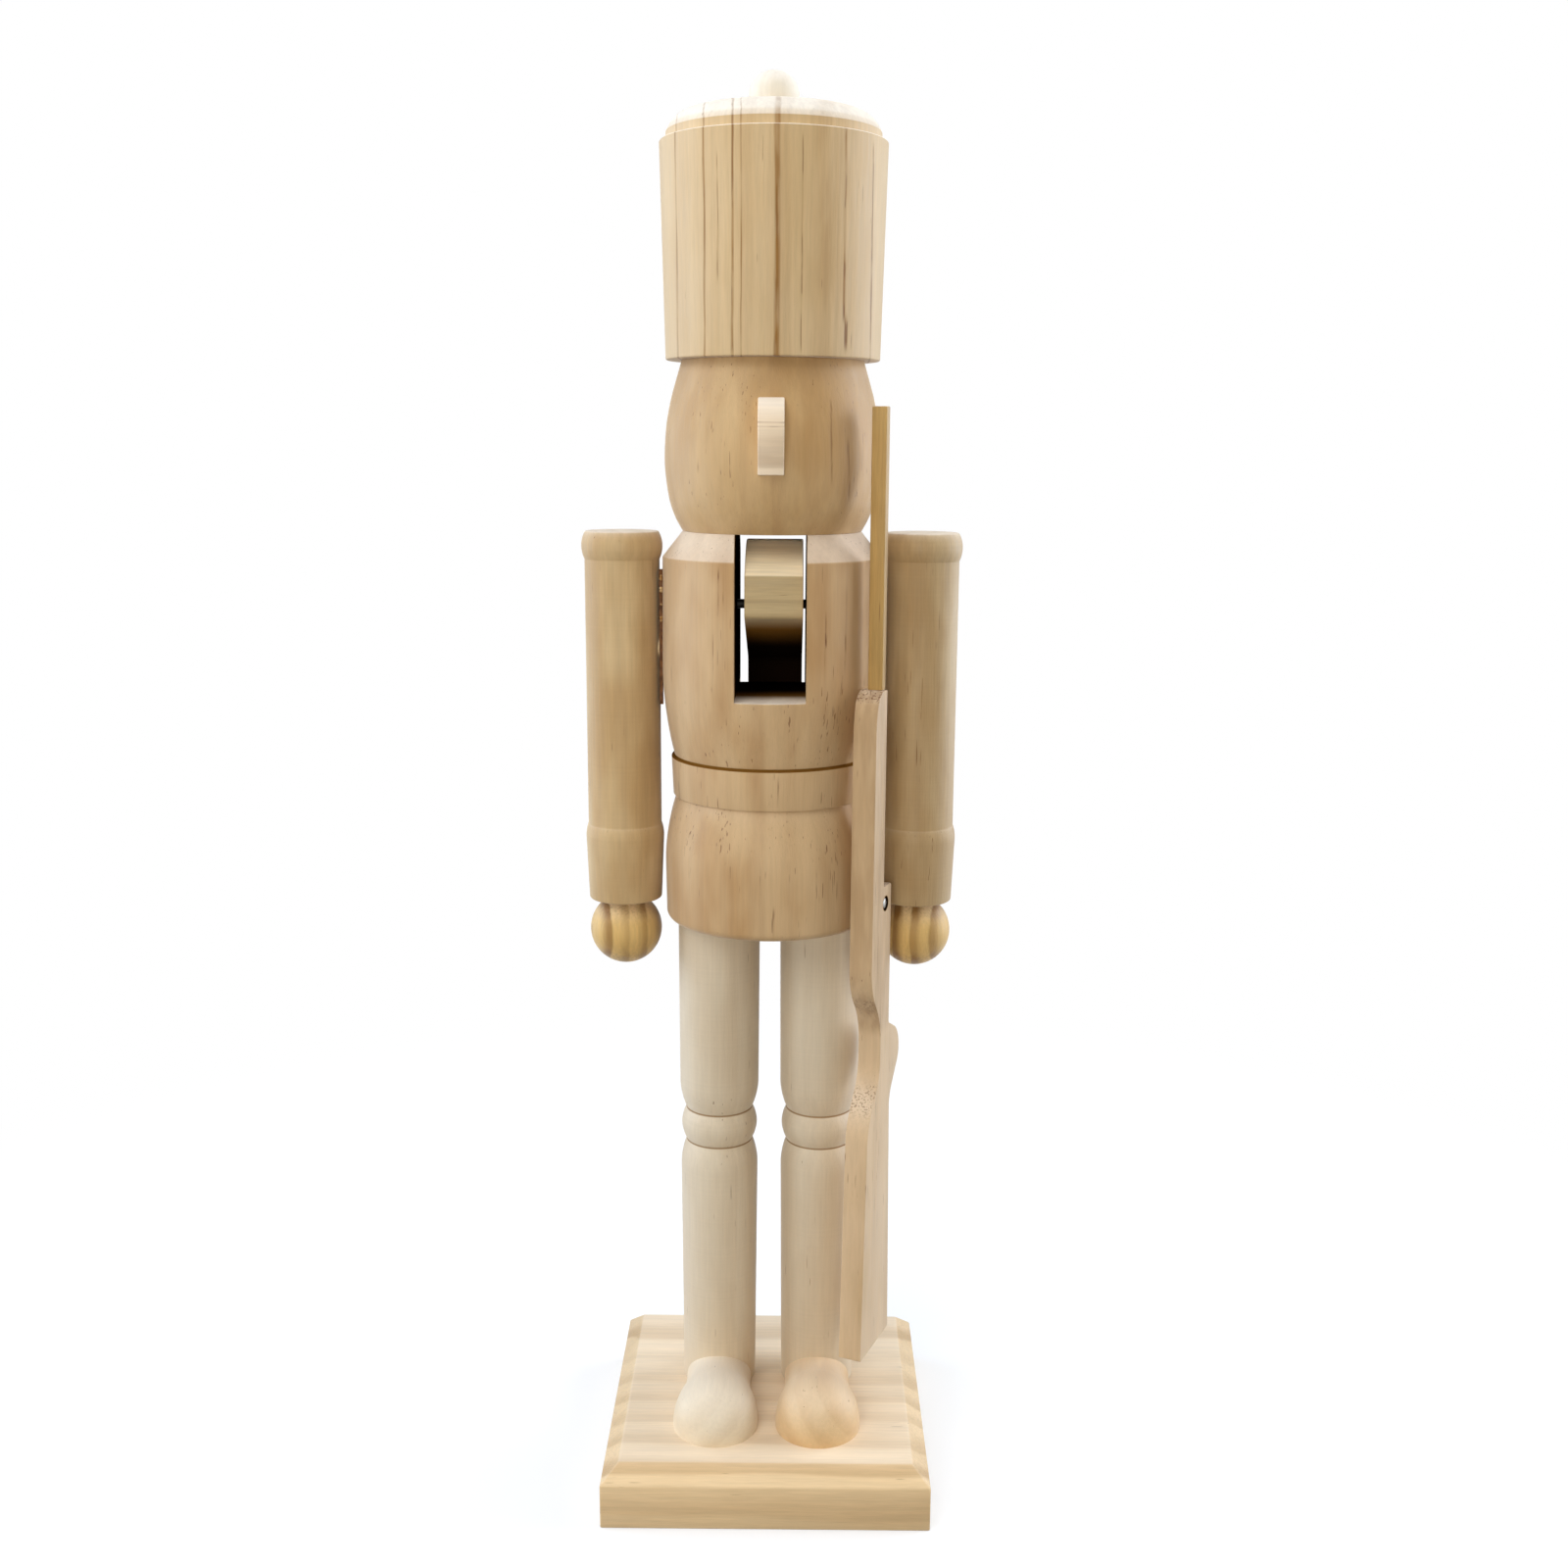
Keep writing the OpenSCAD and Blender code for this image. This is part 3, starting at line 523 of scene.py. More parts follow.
# %% Cuts and their tools
def cut(work, tools):
    """Take the tool shapes away from a workbench mesh, as a saw or a drill would."""
    shapes = []
    for shape in [work] + tools:
        mesh = bpy.data.meshes.new("shape")
        shape.to_mesh(mesh)
        shape.free()
        shapes.append(bpy.data.objects.new("shape", mesh))
        bpy.context.collection.objects.link(shapes[-1])
    for tool in shapes[1:]:
        saw_cut = shapes[0].modifiers.new("cut", "BOOLEAN")
        saw_cut.object = tool
        saw_cut.operation = "DIFFERENCE"
        saw_cut.solver = "EXACT"
    result = bmesh.new()
    result.from_object(shapes[0], bpy.context.evaluated_depsgraph_get())
    for shape in shapes:
        bpy.data.meshes.remove(shape.data)
    return result


def block(low, high):
    """A plain block between two corners."""
    work = bmesh.new()
    bmesh.ops.create_cube(work, size=1)
    low, high = Vector(low), Vector(high)
    bmesh.ops.scale(work, verts=work.verts, vec=high - low)
    bmesh.ops.translate(work, verts=work.verts, vec=(low + high) / 2)
    return work


def level_rod(radius, length, middle):
    """A plain round rod along X."""
    work = bmesh.new()
    bmesh.ops.create_cone(work, cap_ends=True, segments=48, radius1=radius, radius2=radius, depth=length)
    return set_by(work, Matrix.Translation(middle) @ ALONG_X)


def slice_off(work, height, way):
    """Remove what lies above a level plane, for a way of 1, or below it, for -1, and give the cut edges."""
    cut_parts = bmesh.ops.bisect_plane(
        work, geom=work.verts[:] + work.edges[:] + work.faces[:], plane_co=(0, 0, height),
        plane_no=(0, 0, way), clear_outer=True)["geom_cut"]
    return [part for part in cut_parts if isinstance(part, bmesh.types.BMEdge)]


def ball(radius, around, high, flat, way):
    """A ball with a flat at a height, on its top or its bottom."""
    work = bmesh.new()
    bmesh.ops.create_uvsphere(work, u_segments=around, v_segments=high, radius=radius)
    slice_off(work, flat, way)
    bmesh.ops.holes_fill(work, edges=[e for e in work.edges if e.is_boundary])
    return work


print("tools: block, rod and ball")

# %% [markdown]
# ## The base board
# A square board of softwood with a bevel round its top. Its grain runs from side to side and its rings lie
# aslant, which gives wavy bands on the top and slanted stripes on the two end-grain sides. A scaled cube is
# extruded upwards, its new top is drawn in to make the bevel, and two countersunk holes come from below for
# the screws.

# %% Base
BASE_EDGE = 12.6
BASE_BEVEL = 4.8
hole_line = [(0, -1, 0), (4.2, -1, 0), (4.2, 0.4, 0), (2.2, 2.4, 0), (2.2, 15, 0), (0, 15, 0)]
base_half = node_box("base_plate")[1].x
board = block((-base_half, -base_half, 0), (base_half, base_half, BASE_EDGE))
top = max(board.faces, key=lambda face: face.calc_center_median().z)
raised = raise_face(board, top, (0, 0, base_top - BASE_EDGE))
bmesh.ops.delete(board, geom=[top], context="FACES_ONLY")
drawn_in = (base_half - BASE_BEVEL) / base_half
bmesh.ops.scale(board, verts=raised, vec=(drawn_in, drawn_in, 1))
bmesh.ops.recalc_face_normals(board, faces=board.faces)
bevel_edges(board, sharp_edges(board, steepest=20), 0.45, 3)
board = cut(board, [move(turn(hole_line, 48), side) for side in (leg_side, -leg_side)])
base_wood = bare_wood(
    "base_pine", (232, 202, 157), (221, 190, 144), (184, 146, 96), grain="across", pith=(-130, 128), ring=8.5,
    rings=0.55, wander=4.0, flecks=0.15, fibre=0.1, pits=0.15, dust_and_top_light=0.35, dust_and_top_light_facing=(0.75, 0.97), seed=2)
finish_piece("base_board", board, base_wood, stands_for="base_plate")

# %% [markdown]
# ## Steel
# The screws and the nail are zinc-coated, and the jaw turns on a darker wire. Plain steel shows fine
# scratches and a duller bloom in patches, so noise changes its colour and its roughness, and long thin
# noise scratches it.

# %% The steel recipe
def bare_steel(name, bright, dull, rough):
    """Plain steel with fine scratches and a duller bloom in patches."""
    material, surface, place = new_material(name)
    bar = place.vector("MULTIPLY", (1 / MM,) * 3)
    bloom = bar.noise((2.5, 2.5), detail=3.0)
    scratch = bar.noise((0.12, 3.0), detail=2.0) - 0.5
    feed(surface, "Base Color", bloom.rise(0.3, 0.7).between(eye(*bright), eye(*dull)))
    feed(surface, "Roughness", rough + 0.2 * bloom + 0.3 * scratch)
    bump = scratch.node("ShaderNodeBump", {}, {"Height": scratch, "Strength": 0.3, "Distance": 0.03 * MM})
    feed(surface, "Normal", bump)
    keep_even(surface, {"Metallic": 1.0})
    return material


zinc_steel = bare_steel("zinc_steel", (196, 196, 192), (150, 150, 146), 0.3)
dark_steel = bare_steel("dark_steel", (70, 68, 66), (38, 36, 35), 0.45)
print("two steels:", zinc_steel.name, dark_steel.name)

# %% [markdown]
# ## Screws under the base
# Nobody sees them on the shelf, but a part that is turned over shows two countersunk heads. A turned
# profile gives head and shank, and two thin blocks cut the cross recess.

# %% Screws
SCREW_SINK = 0.6
RECESS_REACH = 2.1
RECESS_HALF = 0.45
RECESS_DEEP = 1.3
screw_line = [(0, 0, 0), (4, 0, 0.2), (2, 2, 0), (2, 36, 0), (0, 40, 0)]
screws = bmesh.new()
for side in (leg_side, -leg_side):
    cross = [block((-wide, -deep, -1), (wide, deep, RECESS_DEEP))
             for wide, deep in ((RECESS_REACH, RECESS_HALF), (RECESS_HALF, RECESS_REACH))]
    join(screws, move(cut(turn(screw_line, 48), cross), side, z=SCREW_SINK))
finish_piece("base_screws_cut", screws, zinc_steel, stands_for="base_screws")

# %% [markdown]
# ## Legs
# Each leg is one long turning with a bead at the knee between two grooves. The wood is the palest of the
# figure, with faint upright grain. The line goes up one side of the leg, and the long roundings beside the
# grooves are the lathe tool's sweep. A thin line of painted shade darkens the bottom of each groove.

# %% Legs
KNEE = base_top + 78.9
GROOVE = 9.35
GROOVE_OFF = 4.8
leg_line = [
    (0, base_top, 0), (10.45, base_top, 0.3), (11.0, KNEE - 8.6, 3.7), (GROOVE, KNEE - GROOVE_OFF, 0.25),
    (10.75, KNEE - 2.4, 2.3), (10.75, KNEE + 2.4, 2.3), (GROOVE, KNEE + GROOVE_OFF, 0.25),
    (11.15, KNEE + 8.6, 3.7), (11.45, hip, 0.3), (0, hip, 0)]


def knee_painted_shade(place, normal):
    """Painted shade: a thin dark line in the bottoms of the two knee grooves."""
    off = (place.axis(2) / MM - KNEE).size() - GROOVE_OFF
    return 0.2 * (1 - off.size().rise(0.1, 0.45))


leg_woods = {
    "leg_left": bare_wood(
        "leg_pine_left", (211, 195, 170), (203, 184, 156), (182, 154, 119), pith=(60, -130), ring=5.5,
        rings=0.2, flecks=0.12, fibre=0.06, turning=0.05, seed=3, painted_shade=knee_painted_shade),
    "leg_right": bare_wood(
        "leg_pine_right", (220, 205, 180), (212, 194, 167), (195, 168, 132), pith=(-90, -120), ring=6.5,
        rings=0.2, flecks=0.15, fibre=0.06, turning=0.05, seed=4, painted_shade=knee_painted_shade)}
for name, side in left_and_right("leg", leg_side):
    leg = move(turn(leg_line, 96), side)
    finish_piece(name + "_turned", leg, leg_woods[name], stands_for=name)

# %% [markdown]
# ## Shoes
# A shoe is half of a turned pear that lies on the base with its neck against the leg. It is spun upright,
# laid down with the toe to the front, and cut level with the base. The two are of different wood: one
# cream, one tan.

# %% Shoes
TOE = 11.85
SHOE_REACH = 40.3
SHOE_LIFT = 1.2
shoe_line = [
    (0, 4.9, 0), (9.3, 4.9, 0), (9.3, 15.2, 4.6), (TOE, 23.6, 4.2), (TOE, SHOE_REACH, 11.8),
    (0, SHOE_REACH, 0)]
shoe_tan = bare_wood(
    "shoe_tan", (220, 189, 144), (210, 175, 127), (171, 124, 77), grain="back", pith=(70, -60), ring=7,
    rings=0.14, flecks=0.05, fibre=0.06, pits=0.0, dust_and_top_light=0.2, seed=5)
shoe_cream = bare_wood(
    "shoe_cream", (227, 210, 183), (219, 200, 170), (187, 155, 117), grain="back", pith=(-70, -80), ring=7,
    rings=0.1, flecks=0.05, fibre=0.05, pits=0.0, dust_and_top_light=0.2, seed=6)
for name, side, wood, slot in (("shoe_left", leg_side, shoe_tan, "shoe_tan"),
                               ("shoe_right", -leg_side, shoe_cream, "shoe_cream")):
    shoe = quarter_turn(turn(shoe_line, 96), "X")
    bmesh.ops.contextual_create(shoe, geom=slice_off(shoe, -SHOE_LIFT, -1))
    bmesh.ops.recalc_face_normals(shoe, faces=shoe.faces)
    move(shoe, side, z=base_top + SHOE_LIFT)
    finish_piece(name + "_turned", shoe, wood, stands_for=name)

# %% [markdown]
# ## Body
# Chest, belt and skirt are one turning. A slot for the jaw is sawn right through the chest from the neck
# down, and a channel at the back lets the lever's tail hang free. Here the turning is made whole, as on a
# lathe, and then cut, and the sawn edges lose their sharpness in a small bevel.

# %% Body
BELT_LOW = hip + 35.2
BELT_TOP = BELT_LOW + 10.7
CHEST = 29.75
SHOULDER = neck - 6.9
SLOT_HALF = 9.3
SLOT_FLOOR = neck - 42.8
CHANNEL = FIGURE_BACK + 13.6
PIN_Z = neck - 19.6
PAST = 60
body_line = [
    (0, hip, 0), (28.85, hip, 2.4), (29.25, BELT_LOW - 9.3, 9.2), (25.9, BELT_LOW, 0.15),
    (26.85, BELT_LOW, 0.3), (27.35, BELT_TOP, 0.3), (26.4, BELT_TOP, 0.15), (CHEST, BELT_TOP + 12.3, 12.2),
    (29.45, SHOULDER, 0.35), (24.0, neck, 0.25), (0, neck, 0)]
body = cut(move(turn(body_line, 128)), [
    block((-SLOT_HALF, -PAST, SLOT_FLOOR), (SLOT_HALF, PAST, neck + 5)),
    block((-SLOT_HALF, CHANNEL, hip - 5), (SLOT_HALF, PAST, SLOT_FLOOR + 2)),
    level_rod(1.27, PAST, (8.0, FIGURE_BACK, PIN_Z))])
sawn = []
for edge in sharp_edges(body):
    middle = (edge.verts[0].co + edge.verts[1].co) / 2
    if abs(abs(middle.x) - SLOT_HALF) < 0.01 or abs(middle.z - SLOT_FLOOR) < 0.01:
        sawn.append(edge)
bevel_edges(body, sawn, 0.3, 2)
print("sawn edges of the body:", len(sawn))

# %% [markdown]
# ## The wood of the body
# The slot's walls and the depth of its floor get painted shade, as light hardly gets there. The seam where the
# chest meets the belt gets a thin painted shadow line as well. A few resin dashes are placed one by one.

# %% Body wood
WALL_SHADE_START = FIGURE_BACK - 28
WALL_SHADE_FULL = FIGURE_BACK - 12
FLOOR_SHADE_START = FIGURE_BACK - 24
FLOOR_SHADE_FULL = FIGURE_BACK + 8
BODY_LINES = [
    (-11.9, 243, 257, 0.6, 0.4, 0.8), (-10.4, 246, 256, 0.5, 0.3, 0.6), (-13.2, 226, 240, 0.4, 0.2, 0.4),
    (14.6, 224, 246, 0.4, 0.2, 0.5), (20.0, 228, 252, 0.5, 0.3, 0.5), (2.4, 193, 203, 0.5, 0.2, 0.7),
    (1.2, 157, 168, 0.5, 0.2, 0.8), (6.5, 205, 216, 0.4, 0.1, 0.5)]


def body_painted_shade(place, normal):
    """Painted shade on the slot's walls and the depth of its floor, and a painted shadow line where the chest
    meets the belt.
    """
    side, depth, height = (place.axis(number) / MM for number in range(3))
    inside = 1 - side.size().rise(SLOT_HALF + 0.1, SLOT_HALF + 0.4)
    inside = inside * height.rise(SLOT_FLOOR - 0.5, SLOT_FLOOR - 0.1)
    wall = depth.rise(WALL_SHADE_START, WALL_SHADE_FULL)
    level = 0.04 + 0.96 * depth.rise(FLOOR_SHADE_START, FLOOR_SHADE_FULL)
    up = normal.facing(UP).rise(0.4, 0.8)
    seam = height.rise(BELT_TOP - 0.35, BELT_TOP - 0.1) * (1 - height.rise(BELT_TOP + 0.2, BELT_TOP + 0.8))
    # Painted shade in the slot, plus a painted shadow line just above the belt.
    return 0.95 * inside * (wall + up * (level - wall)) + 0.35 * seam


body_wood = bare_wood(
    "body_pine", (203, 171, 128), (179, 140, 93), (144, 101, 60), pith=(-150, 7), ring=8.0, rings=0.18,
    wander=2.2, flecks=0.42, fibre=0.07, pits=0.0, dust_and_top_light=0.7, seed=7, lines=BODY_LINES, painted_shade=body_painted_shade)
finish_piece("body_turned", body, body_wood, stands_for="torso")

# %% [markdown]
# ## Jaw lever
# The jaw, its round shoulder and the long tail behind the body are one piece, cut from a board. The outline
# is drawn from the pin, with the front of the figure to the left, and the board is drilled for the pin. The
# top of the jaw is slightly bowed, so that its front catches the light and its rear goes under the head.
# What lies inside the slot gets painted shade like its walls.

# %% Jaw lever
JAW_THICK = 15.1
lever_line = [
    (-26.05, -1.4, 0.8), (-26.05, 9.4, 0.35), (-17.0, 14.9, 4.0), (-7.5, 17.4, 2.0), (2.5, 17.7, 4.6),
    (11.2, 14.9, 3.6), (14.9, 11.63, 0.6), (26.6, -3.35, 3.0), (31.1, -79.2, 5.2), (20.5, -79.2, 5.2),
    (14.0, -30.8, 5.0), (14.0, -16.8, 3.0)]
lever = quarter_turn(saw(lever_line, JAW_THICK, 0.35), "Z")
move(lever, node_side("jaw_lever"), z=PIN_Z)
lever = cut(lever, [level_rod(1.31, 40, (0, FIGURE_BACK, PIN_Z))])


def lever_painted_shade(place, normal):
    """Painted shade on the underside of the jaw and the front of the tail inside the slot."""
    height = place.axis(2) / MM
    inside = (1 - height.rise(PIN_Z - 19, PIN_Z + 2)) * height.rise(SLOT_FLOOR - 2, SLOT_FLOOR)
    return inside * normal.facing((0, -0.7, -0.7)).rise(0.1, 0.6)


# The top of the jaw gets a strong cream painted top light, which the lamps hardly give it under the head.
lever_wood = bare_wood(
    "lever_wood", (190, 167, 125), (178, 153, 110), (136, 108, 66), grain="across", pith=(170, 30), ring=3.4,
    rings=0.22, wander=1.2, flecks=0.2, fibre=0.14, pits=0.1, dust_and_top_light=1.0, dust_and_top_light_colour=(252, 232, 194), seed=8,
    painted_shade=lever_painted_shade)
finish_piece("jaw_lever_sawn", lever, lever_wood, body="lever", stands_for="jaw_lever")

# %% [markdown]
# ## Head
# The head is a plain barrel turning. Its line has few corners with long roundings, so that the barrel
# swells evenly, and a flat at each end meets the chest and the hat.

# %% Head
head_line = [
    (0, neck, 0), (24.0, neck, 0.25), (26.6, neck + 4.6, 3.0), (28.7, neck + 13.2, 6.0),
    (28.7, neck + 23.5, 5.0), (27.55, neck + 32.5, 6.0), (24.05, brow, 0.2), (0, brow, 0)]
HEAD_LINES = [
    (15.5, 276, 300, 0.6, 0.35, 0.4), (19.4, 272, 290, 0.5, 0.3, 0.4), (7.6, 264, 268, 0.5, 0.2, 0.7),
    (-20.2, 279, 284, 0.5, 0.2, 0.8), (-0.6, 274, 279, 0.4, 0.2, 0.5)]
head_wood = bare_wood(
    "head_pine", (201, 168, 121), (178, 140, 89), (148, 106, 61), pith=(150, -40), ring=9.0, rings=0.22,
    wander=3.0, flecks=0.3, fibre=0.07, pits=0.0, dust_and_top_light=0.3, seed=9, lines=HEAD_LINES)
finish_piece("head_turned", move(turn(head_line, 128)), head_wood, stands_for="head")

# %% [markdown]
# ## Nose
# The nose is a small block let into the front of the head. Its ridge bows outwards, and a plain lip is left
# below it. Its side view is sawn from a thin board and turned to the front.

# %% Nose
NOSE_LOW = neck + 15.2
NOSE_WIDE = 6.6
nose_line = [
    (-21.7, 0, 0), (-30.9, 0, 0.3), (-30.9, 1.7, 0.3), (-33.3, 6.6, 4.4), (-33.3, 15.3, 4.1),
    (-27.7, 19.1, 0.3), (-21.7, 19.1, 0)]
NOSE_LINES = [
    (-292.8, -20, 20, 0.5, 0.6, 0.4), (-291.8, -20, 20, 0.4, 0.5, 0.2), (-286.0, -20, 20, 9.0, 0.2, 0.0)]
nose = move(quarter_turn(saw(nose_line, NOSE_WIDE, 0.3), "Z"), z=NOSE_LOW)
nose_wood = bare_wood(
    "nose_wood", (247, 228, 202), (236, 213, 182), (175, 132, 92), grain="across", pith=(-700, 30), ring=5.2,
    rings=0.1, wander=1.6, flecks=0.1, fibre=0.06, pits=0.08, dust_and_top_light=0.5, seed=10, lines=NOSE_LINES)
finish_piece("nose_block", nose, nose_wood, stands_for="nose")

# %% [markdown]
# ## Hat
# The tall hat is one turning with a sharp rim and a crown that is rounded over. Its board shows the strongest
# grain of the figure: brown lines that run up the front and over the crown, beside the recipe's own faint
# rings. Their places were noted: how far from the middle of the front, from where to where, how wide, how
# golden and how dark.

# %% Hat
TALL = 500
HAT_LINES = [
    (-24.1, 0, TALL, 0.5, 0.75, 0.1), (-16.8, 0, TALL, 0.6, 0.75, 0.2), (-13.4, 325, 358, 0.4, 0.3, 0.3),
    (-9.8, 0, TALL, 0.7, 0.75, 0.45), (-7.7, 0, TALL, 0.4, 0.7, 0.1), (1.3, 0, TALL, 1.7, 0.75, 0.12),
    (1.2, 310, 350, 0.6, 0.4, 0.2), (7.4, 308, 362, 0.4, 0.3, 0.5), (15.5, 0, TALL, 12.0, 0.22, 0.0),
    (18.1, 316, 364, 0.8, 0.7, 0.55), (18.8, 309, 320, 1.0, 0.5, 0.7), (25.3, 0, 362, 0.5, 0.7, 0.5)]
hat_line = [
    (0, brow, 0), (28.25, brow, 0.35), (29.6, crown - 8.4, 0.3), (27.9, crown - 8.4, 0.2),
    (27.9, crown - 6.1, 0.12), (26.3, crown - 2.9, 2.2), (22.6, crown - 0.9, 3.2), (6.1, crown, 2.0),
    (0, crown, 0)]
hat_wood = bare_wood(
    "hat_pine", (213, 185, 142), (203, 173, 127), (146, 101, 38), pith=(-170, 20), ring=9.0, rings=0.2,
    wander=0.35, flecks=0.12, fibre=0.09, pits=0.0, dust_and_top_light=1.0, dust_and_top_light_colour=(244, 234, 219), dust_and_top_light_facing=(0.2, 0.6),
    seed=11, lines=HAT_LINES)
finish_piece("hat_turned", move(turn(hat_line, 128)), hat_wood, stands_for="hat")

# %% [markdown]
# ## Knob
# A small ball of very pale wood sits on the crown. It is a sphere with a flat below, made slightly wider
# than it is high, as such small turnings are.

# %% Knob
KNOB = 6.1
KNOB_LOW = 3.4
KNOB_WIDENING = 1.06
knob = ball(KNOB, 64, 40, -KNOB_LOW, -1)
bmesh.ops.scale(knob, verts=knob.verts, vec=(KNOB_WIDENING, KNOB_WIDENING, 1))
move(knob, z=crown + KNOB_LOW)
knob_wood = bare_wood(
    "knob_wood", (238, 230, 215), (232, 221, 202), (200, 172, 138), pith=(-30, 20), ring=2.4, rings=0.1,
    wander=0.4, flecks=0.0, fibre=0.05, pits=0.1, dust_and_top_light=0.9, seed=12)
finish_piece("knob_turned", knob, knob_wood, stands_for="hat_knob")

# %% [markdown]
# ## Arms
# An arm hangs straight down: a bead at the shoulder, a plain sleeve and a cuff that stands out a little.
# The arms show faint rings left by the lathe tool, which the recipe adds along the grain.

# %% Arms
SLEEVE = 10.1
BEAD_LOW = neck - 7.7
arm_top = neck - 0.2
arm_line = [
    (0, cuff, 0), (10.05, cuff, 0.5), (10.85, cuff + 19.5, 1.8), (SLEEVE, cuff + 21.4, 0.2),
    (SLEEVE, BEAD_LOW, 0.1), (10.9, BEAD_LOW + 1.7, 1.6), (10.9, arm_top - 1.8, 1.8), (9.8, arm_top, 0.3),
    (0, arm_top, 0)]
arm_woods = {
    "arm_left": bare_wood(
        "arm_pine_left", (194, 169, 129), (170, 139, 95), (136, 105, 64), pith=(240, -60), ring=6,
        rings=0.22, flecks=0.25, fibre=0.09, turning=0.06, pits=0.0, dust_and_top_light=0.6, seed=13),
    "arm_right": bare_wood(
        "arm_pine_right", (210, 183, 138), (186, 152, 104), (149, 115, 71), pith=(-240, -60), ring=6,
        rings=0.18, flecks=0.2, fibre=0.09, turning=0.06, pits=0.0, dust_and_top_light=0.6, seed=14)}
for name, side in left_and_right("arm", arm_side):
    arm = move(turn(arm_line, 96), side)
    finish_piece(name + "_turned", arm, arm_woods[name], stands_for=name)

# %% [markdown]
# ## Hands
# The hand under each cuff is a ball with a flat on top. Its wood is golden with strong stripes, because a
# ball cuts through many rings, so both hands take the same colours from different places in the board.

# %% Hands
HAND = 9.95
HAND_SUNK = 1
hand_boards = {"hand_left": ((340, -60), 5.2, 15), "hand_right": ((-340, -60), 4.8, 16)}
for name, side in left_and_right("hand", arm_side):
    pith, ring, seed = hand_boards[name]
    hand_wood = bare_wood(
        name.replace("hand", "hand_wood"), (220, 184, 118), (209, 170, 102), (143, 102, 49), pith=pith,
        ring=ring, rings=0.9, wander=0.8, flecks=0.1, fibre=0.12, turning=0.05, seed=seed)
    hand = move(ball(HAND, 72, 48, HAND - HAND_SUNK, 1), side, z=cuff + HAND_SUNK - HAND)
    finish_piece(name + "_ball", hand, hand_wood, stands_for=name)

# %% [markdown]
# ## Rifle stock
# The rifle is a thin board sawn to the outline of a stock, nailed to the figure's left side with its edge to
# the front. The outline is drawn along the board, forwards to the left, and the finished board is turned with
# the body's side and set beside it. A small crater is cut where the nail went in, and painted shade darkens
# it.

# %% Rifle stock
RIFLE_TURN = radians(-22.5)
STOCK_SIDE = 29.3
STOCK_THICK = 6.4
NAIL_Z = hip + 8.2
NAIL_FRONT = 4.2
FORE_TOP = NAIL_Z + 58.4
BUTT = base_top + 20.4
stock_line = [
    (-18.6, BUTT, 0.7), (-15.4, NAIL_Z - 59.9, 5.0), (-6.4, NAIL_Z - 49.1, 5.0), (-6.4, NAIL_Z - 32.9, 5.0),
    (-14.4, NAIL_Z - 22.1, 5.0), (-13.8, FORE_TOP - 7.0, 4.0), (-12.2, FORE_TOP - 2.2, 2.4),
    (-9.4, FORE_TOP, 1.0), (-5.8, FORE_TOP, 0.4), (-5.8, NAIL_Z + 4.8, 0.3), (0.1, NAIL_Z + 4.8, 0.5),
    (0.1, NAIL_Z - 35.0, 0.8), (9.1, NAIL_Z - 39.6, 4.4), (9.1, NAIL_Z - 47.0, 2.0), (1.6, NAIL_Z - 57.0, 3.0),
    (4.0, BUTT, 0.7)]
crater_line = [(0, -0.7, 0), (1.55, -0.7, 0), (1.9, 0.1, 0), (1.9, 2, 0), (0, 2, 0)]
in_rifle = Matrix.Translation((0, FIGURE_BACK, 0)) @ Matrix.Rotation(RIFLE_TURN, 4, "Z")
stand = Matrix.Rotation(radians(90), 4, "Z")
stock_place = in_rifle @ Matrix.Translation((STOCK_SIDE + STOCK_THICK / 2, 0, 0)) @ stand
nail_place = in_rifle @ Matrix.Translation((STOCK_SIDE + STOCK_THICK, -NAIL_FRONT, NAIL_Z)) @ ALONG_X
stock = set_by(saw(stock_line, STOCK_THICK, 0.45), stock_place)
stock = cut(stock, [set_by(turn(crater_line, 40), nail_place)])
print("the nail is at", [round(part, 1) for part in nail_place.to_translation()])

# %% Stock wood
# One broad band, not a line: the stock turns browner from 128 mm up.
STOCK_LINES = [(20, 128, 300, 200, 0.42, 0.0)]
NAIL_MIDDLE = tuple(nail_place.to_translation() * MM)


def crater_painted_shade(place, normal):
    """Painted shade in the crater round the nail."""
    away = place.vector("DISTANCE", NAIL_MIDDLE, output=1) / MM
    return 0.8 * (1 - away.rise(1.8, 2.3))


stock_wood = bare_wood(
    "stock_pine", (211, 181, 143), (196, 165, 124), (153, 118, 79), pith=(150, 60), ring=9.0, rings=0.2,
    wander=1.4, flecks=0.35, fibre=0.08, pits=0.9, seed=17, lines=STOCK_LINES, painted_shade=crater_painted_shade)
finish_piece("stock_sawn", stock, stock_wood, stands_for="rifle_stock")

# %% [markdown]
# ## Rifle barrel and nail
# A square stick on top of the stock is the barrel, of a darker, golden wood. A block with sanded edges is
# enough for it. The nail is a turning like the screws, with a low dome on its head, laid along the hole of
# its crater.

# %% Rifle barrel and nail
barrel_top = node_box("rifle_barrel")[1].z
barrel = block((STOCK_SIDE + 1.75, -8.4, FORE_TOP), (STOCK_SIDE + 5.85, -5.8, barrel_top))
bevel_edges(barrel, sharp_edges(barrel), 0.3, 3)
set_by(barrel, in_rifle)
barrel_wood = bare_wood(
    "barrel_wood", (184, 149, 89), (171, 133, 74), (123, 89, 44), pith=(24, -60), ring=2.2, rings=0.6,
    wander=0.5, flecks=0.2, fibre=0.2, seed=18)
finish_piece("barrel_stick", barrel, barrel_wood, stands_for="rifle_barrel")
nail_line = [(0, -22, 0), (0.8, -20, 0), (0.8, -0.7, 0), (1.5, -0.7, 0.1), (1.5, -0.35, 0.3), (0, -0.1, 0)]
nail = set_by(turn(nail_line, 40), nail_place)
finish_piece("rifle_nail_domed", nail, zinc_steel, stands_for="rifle_nail")

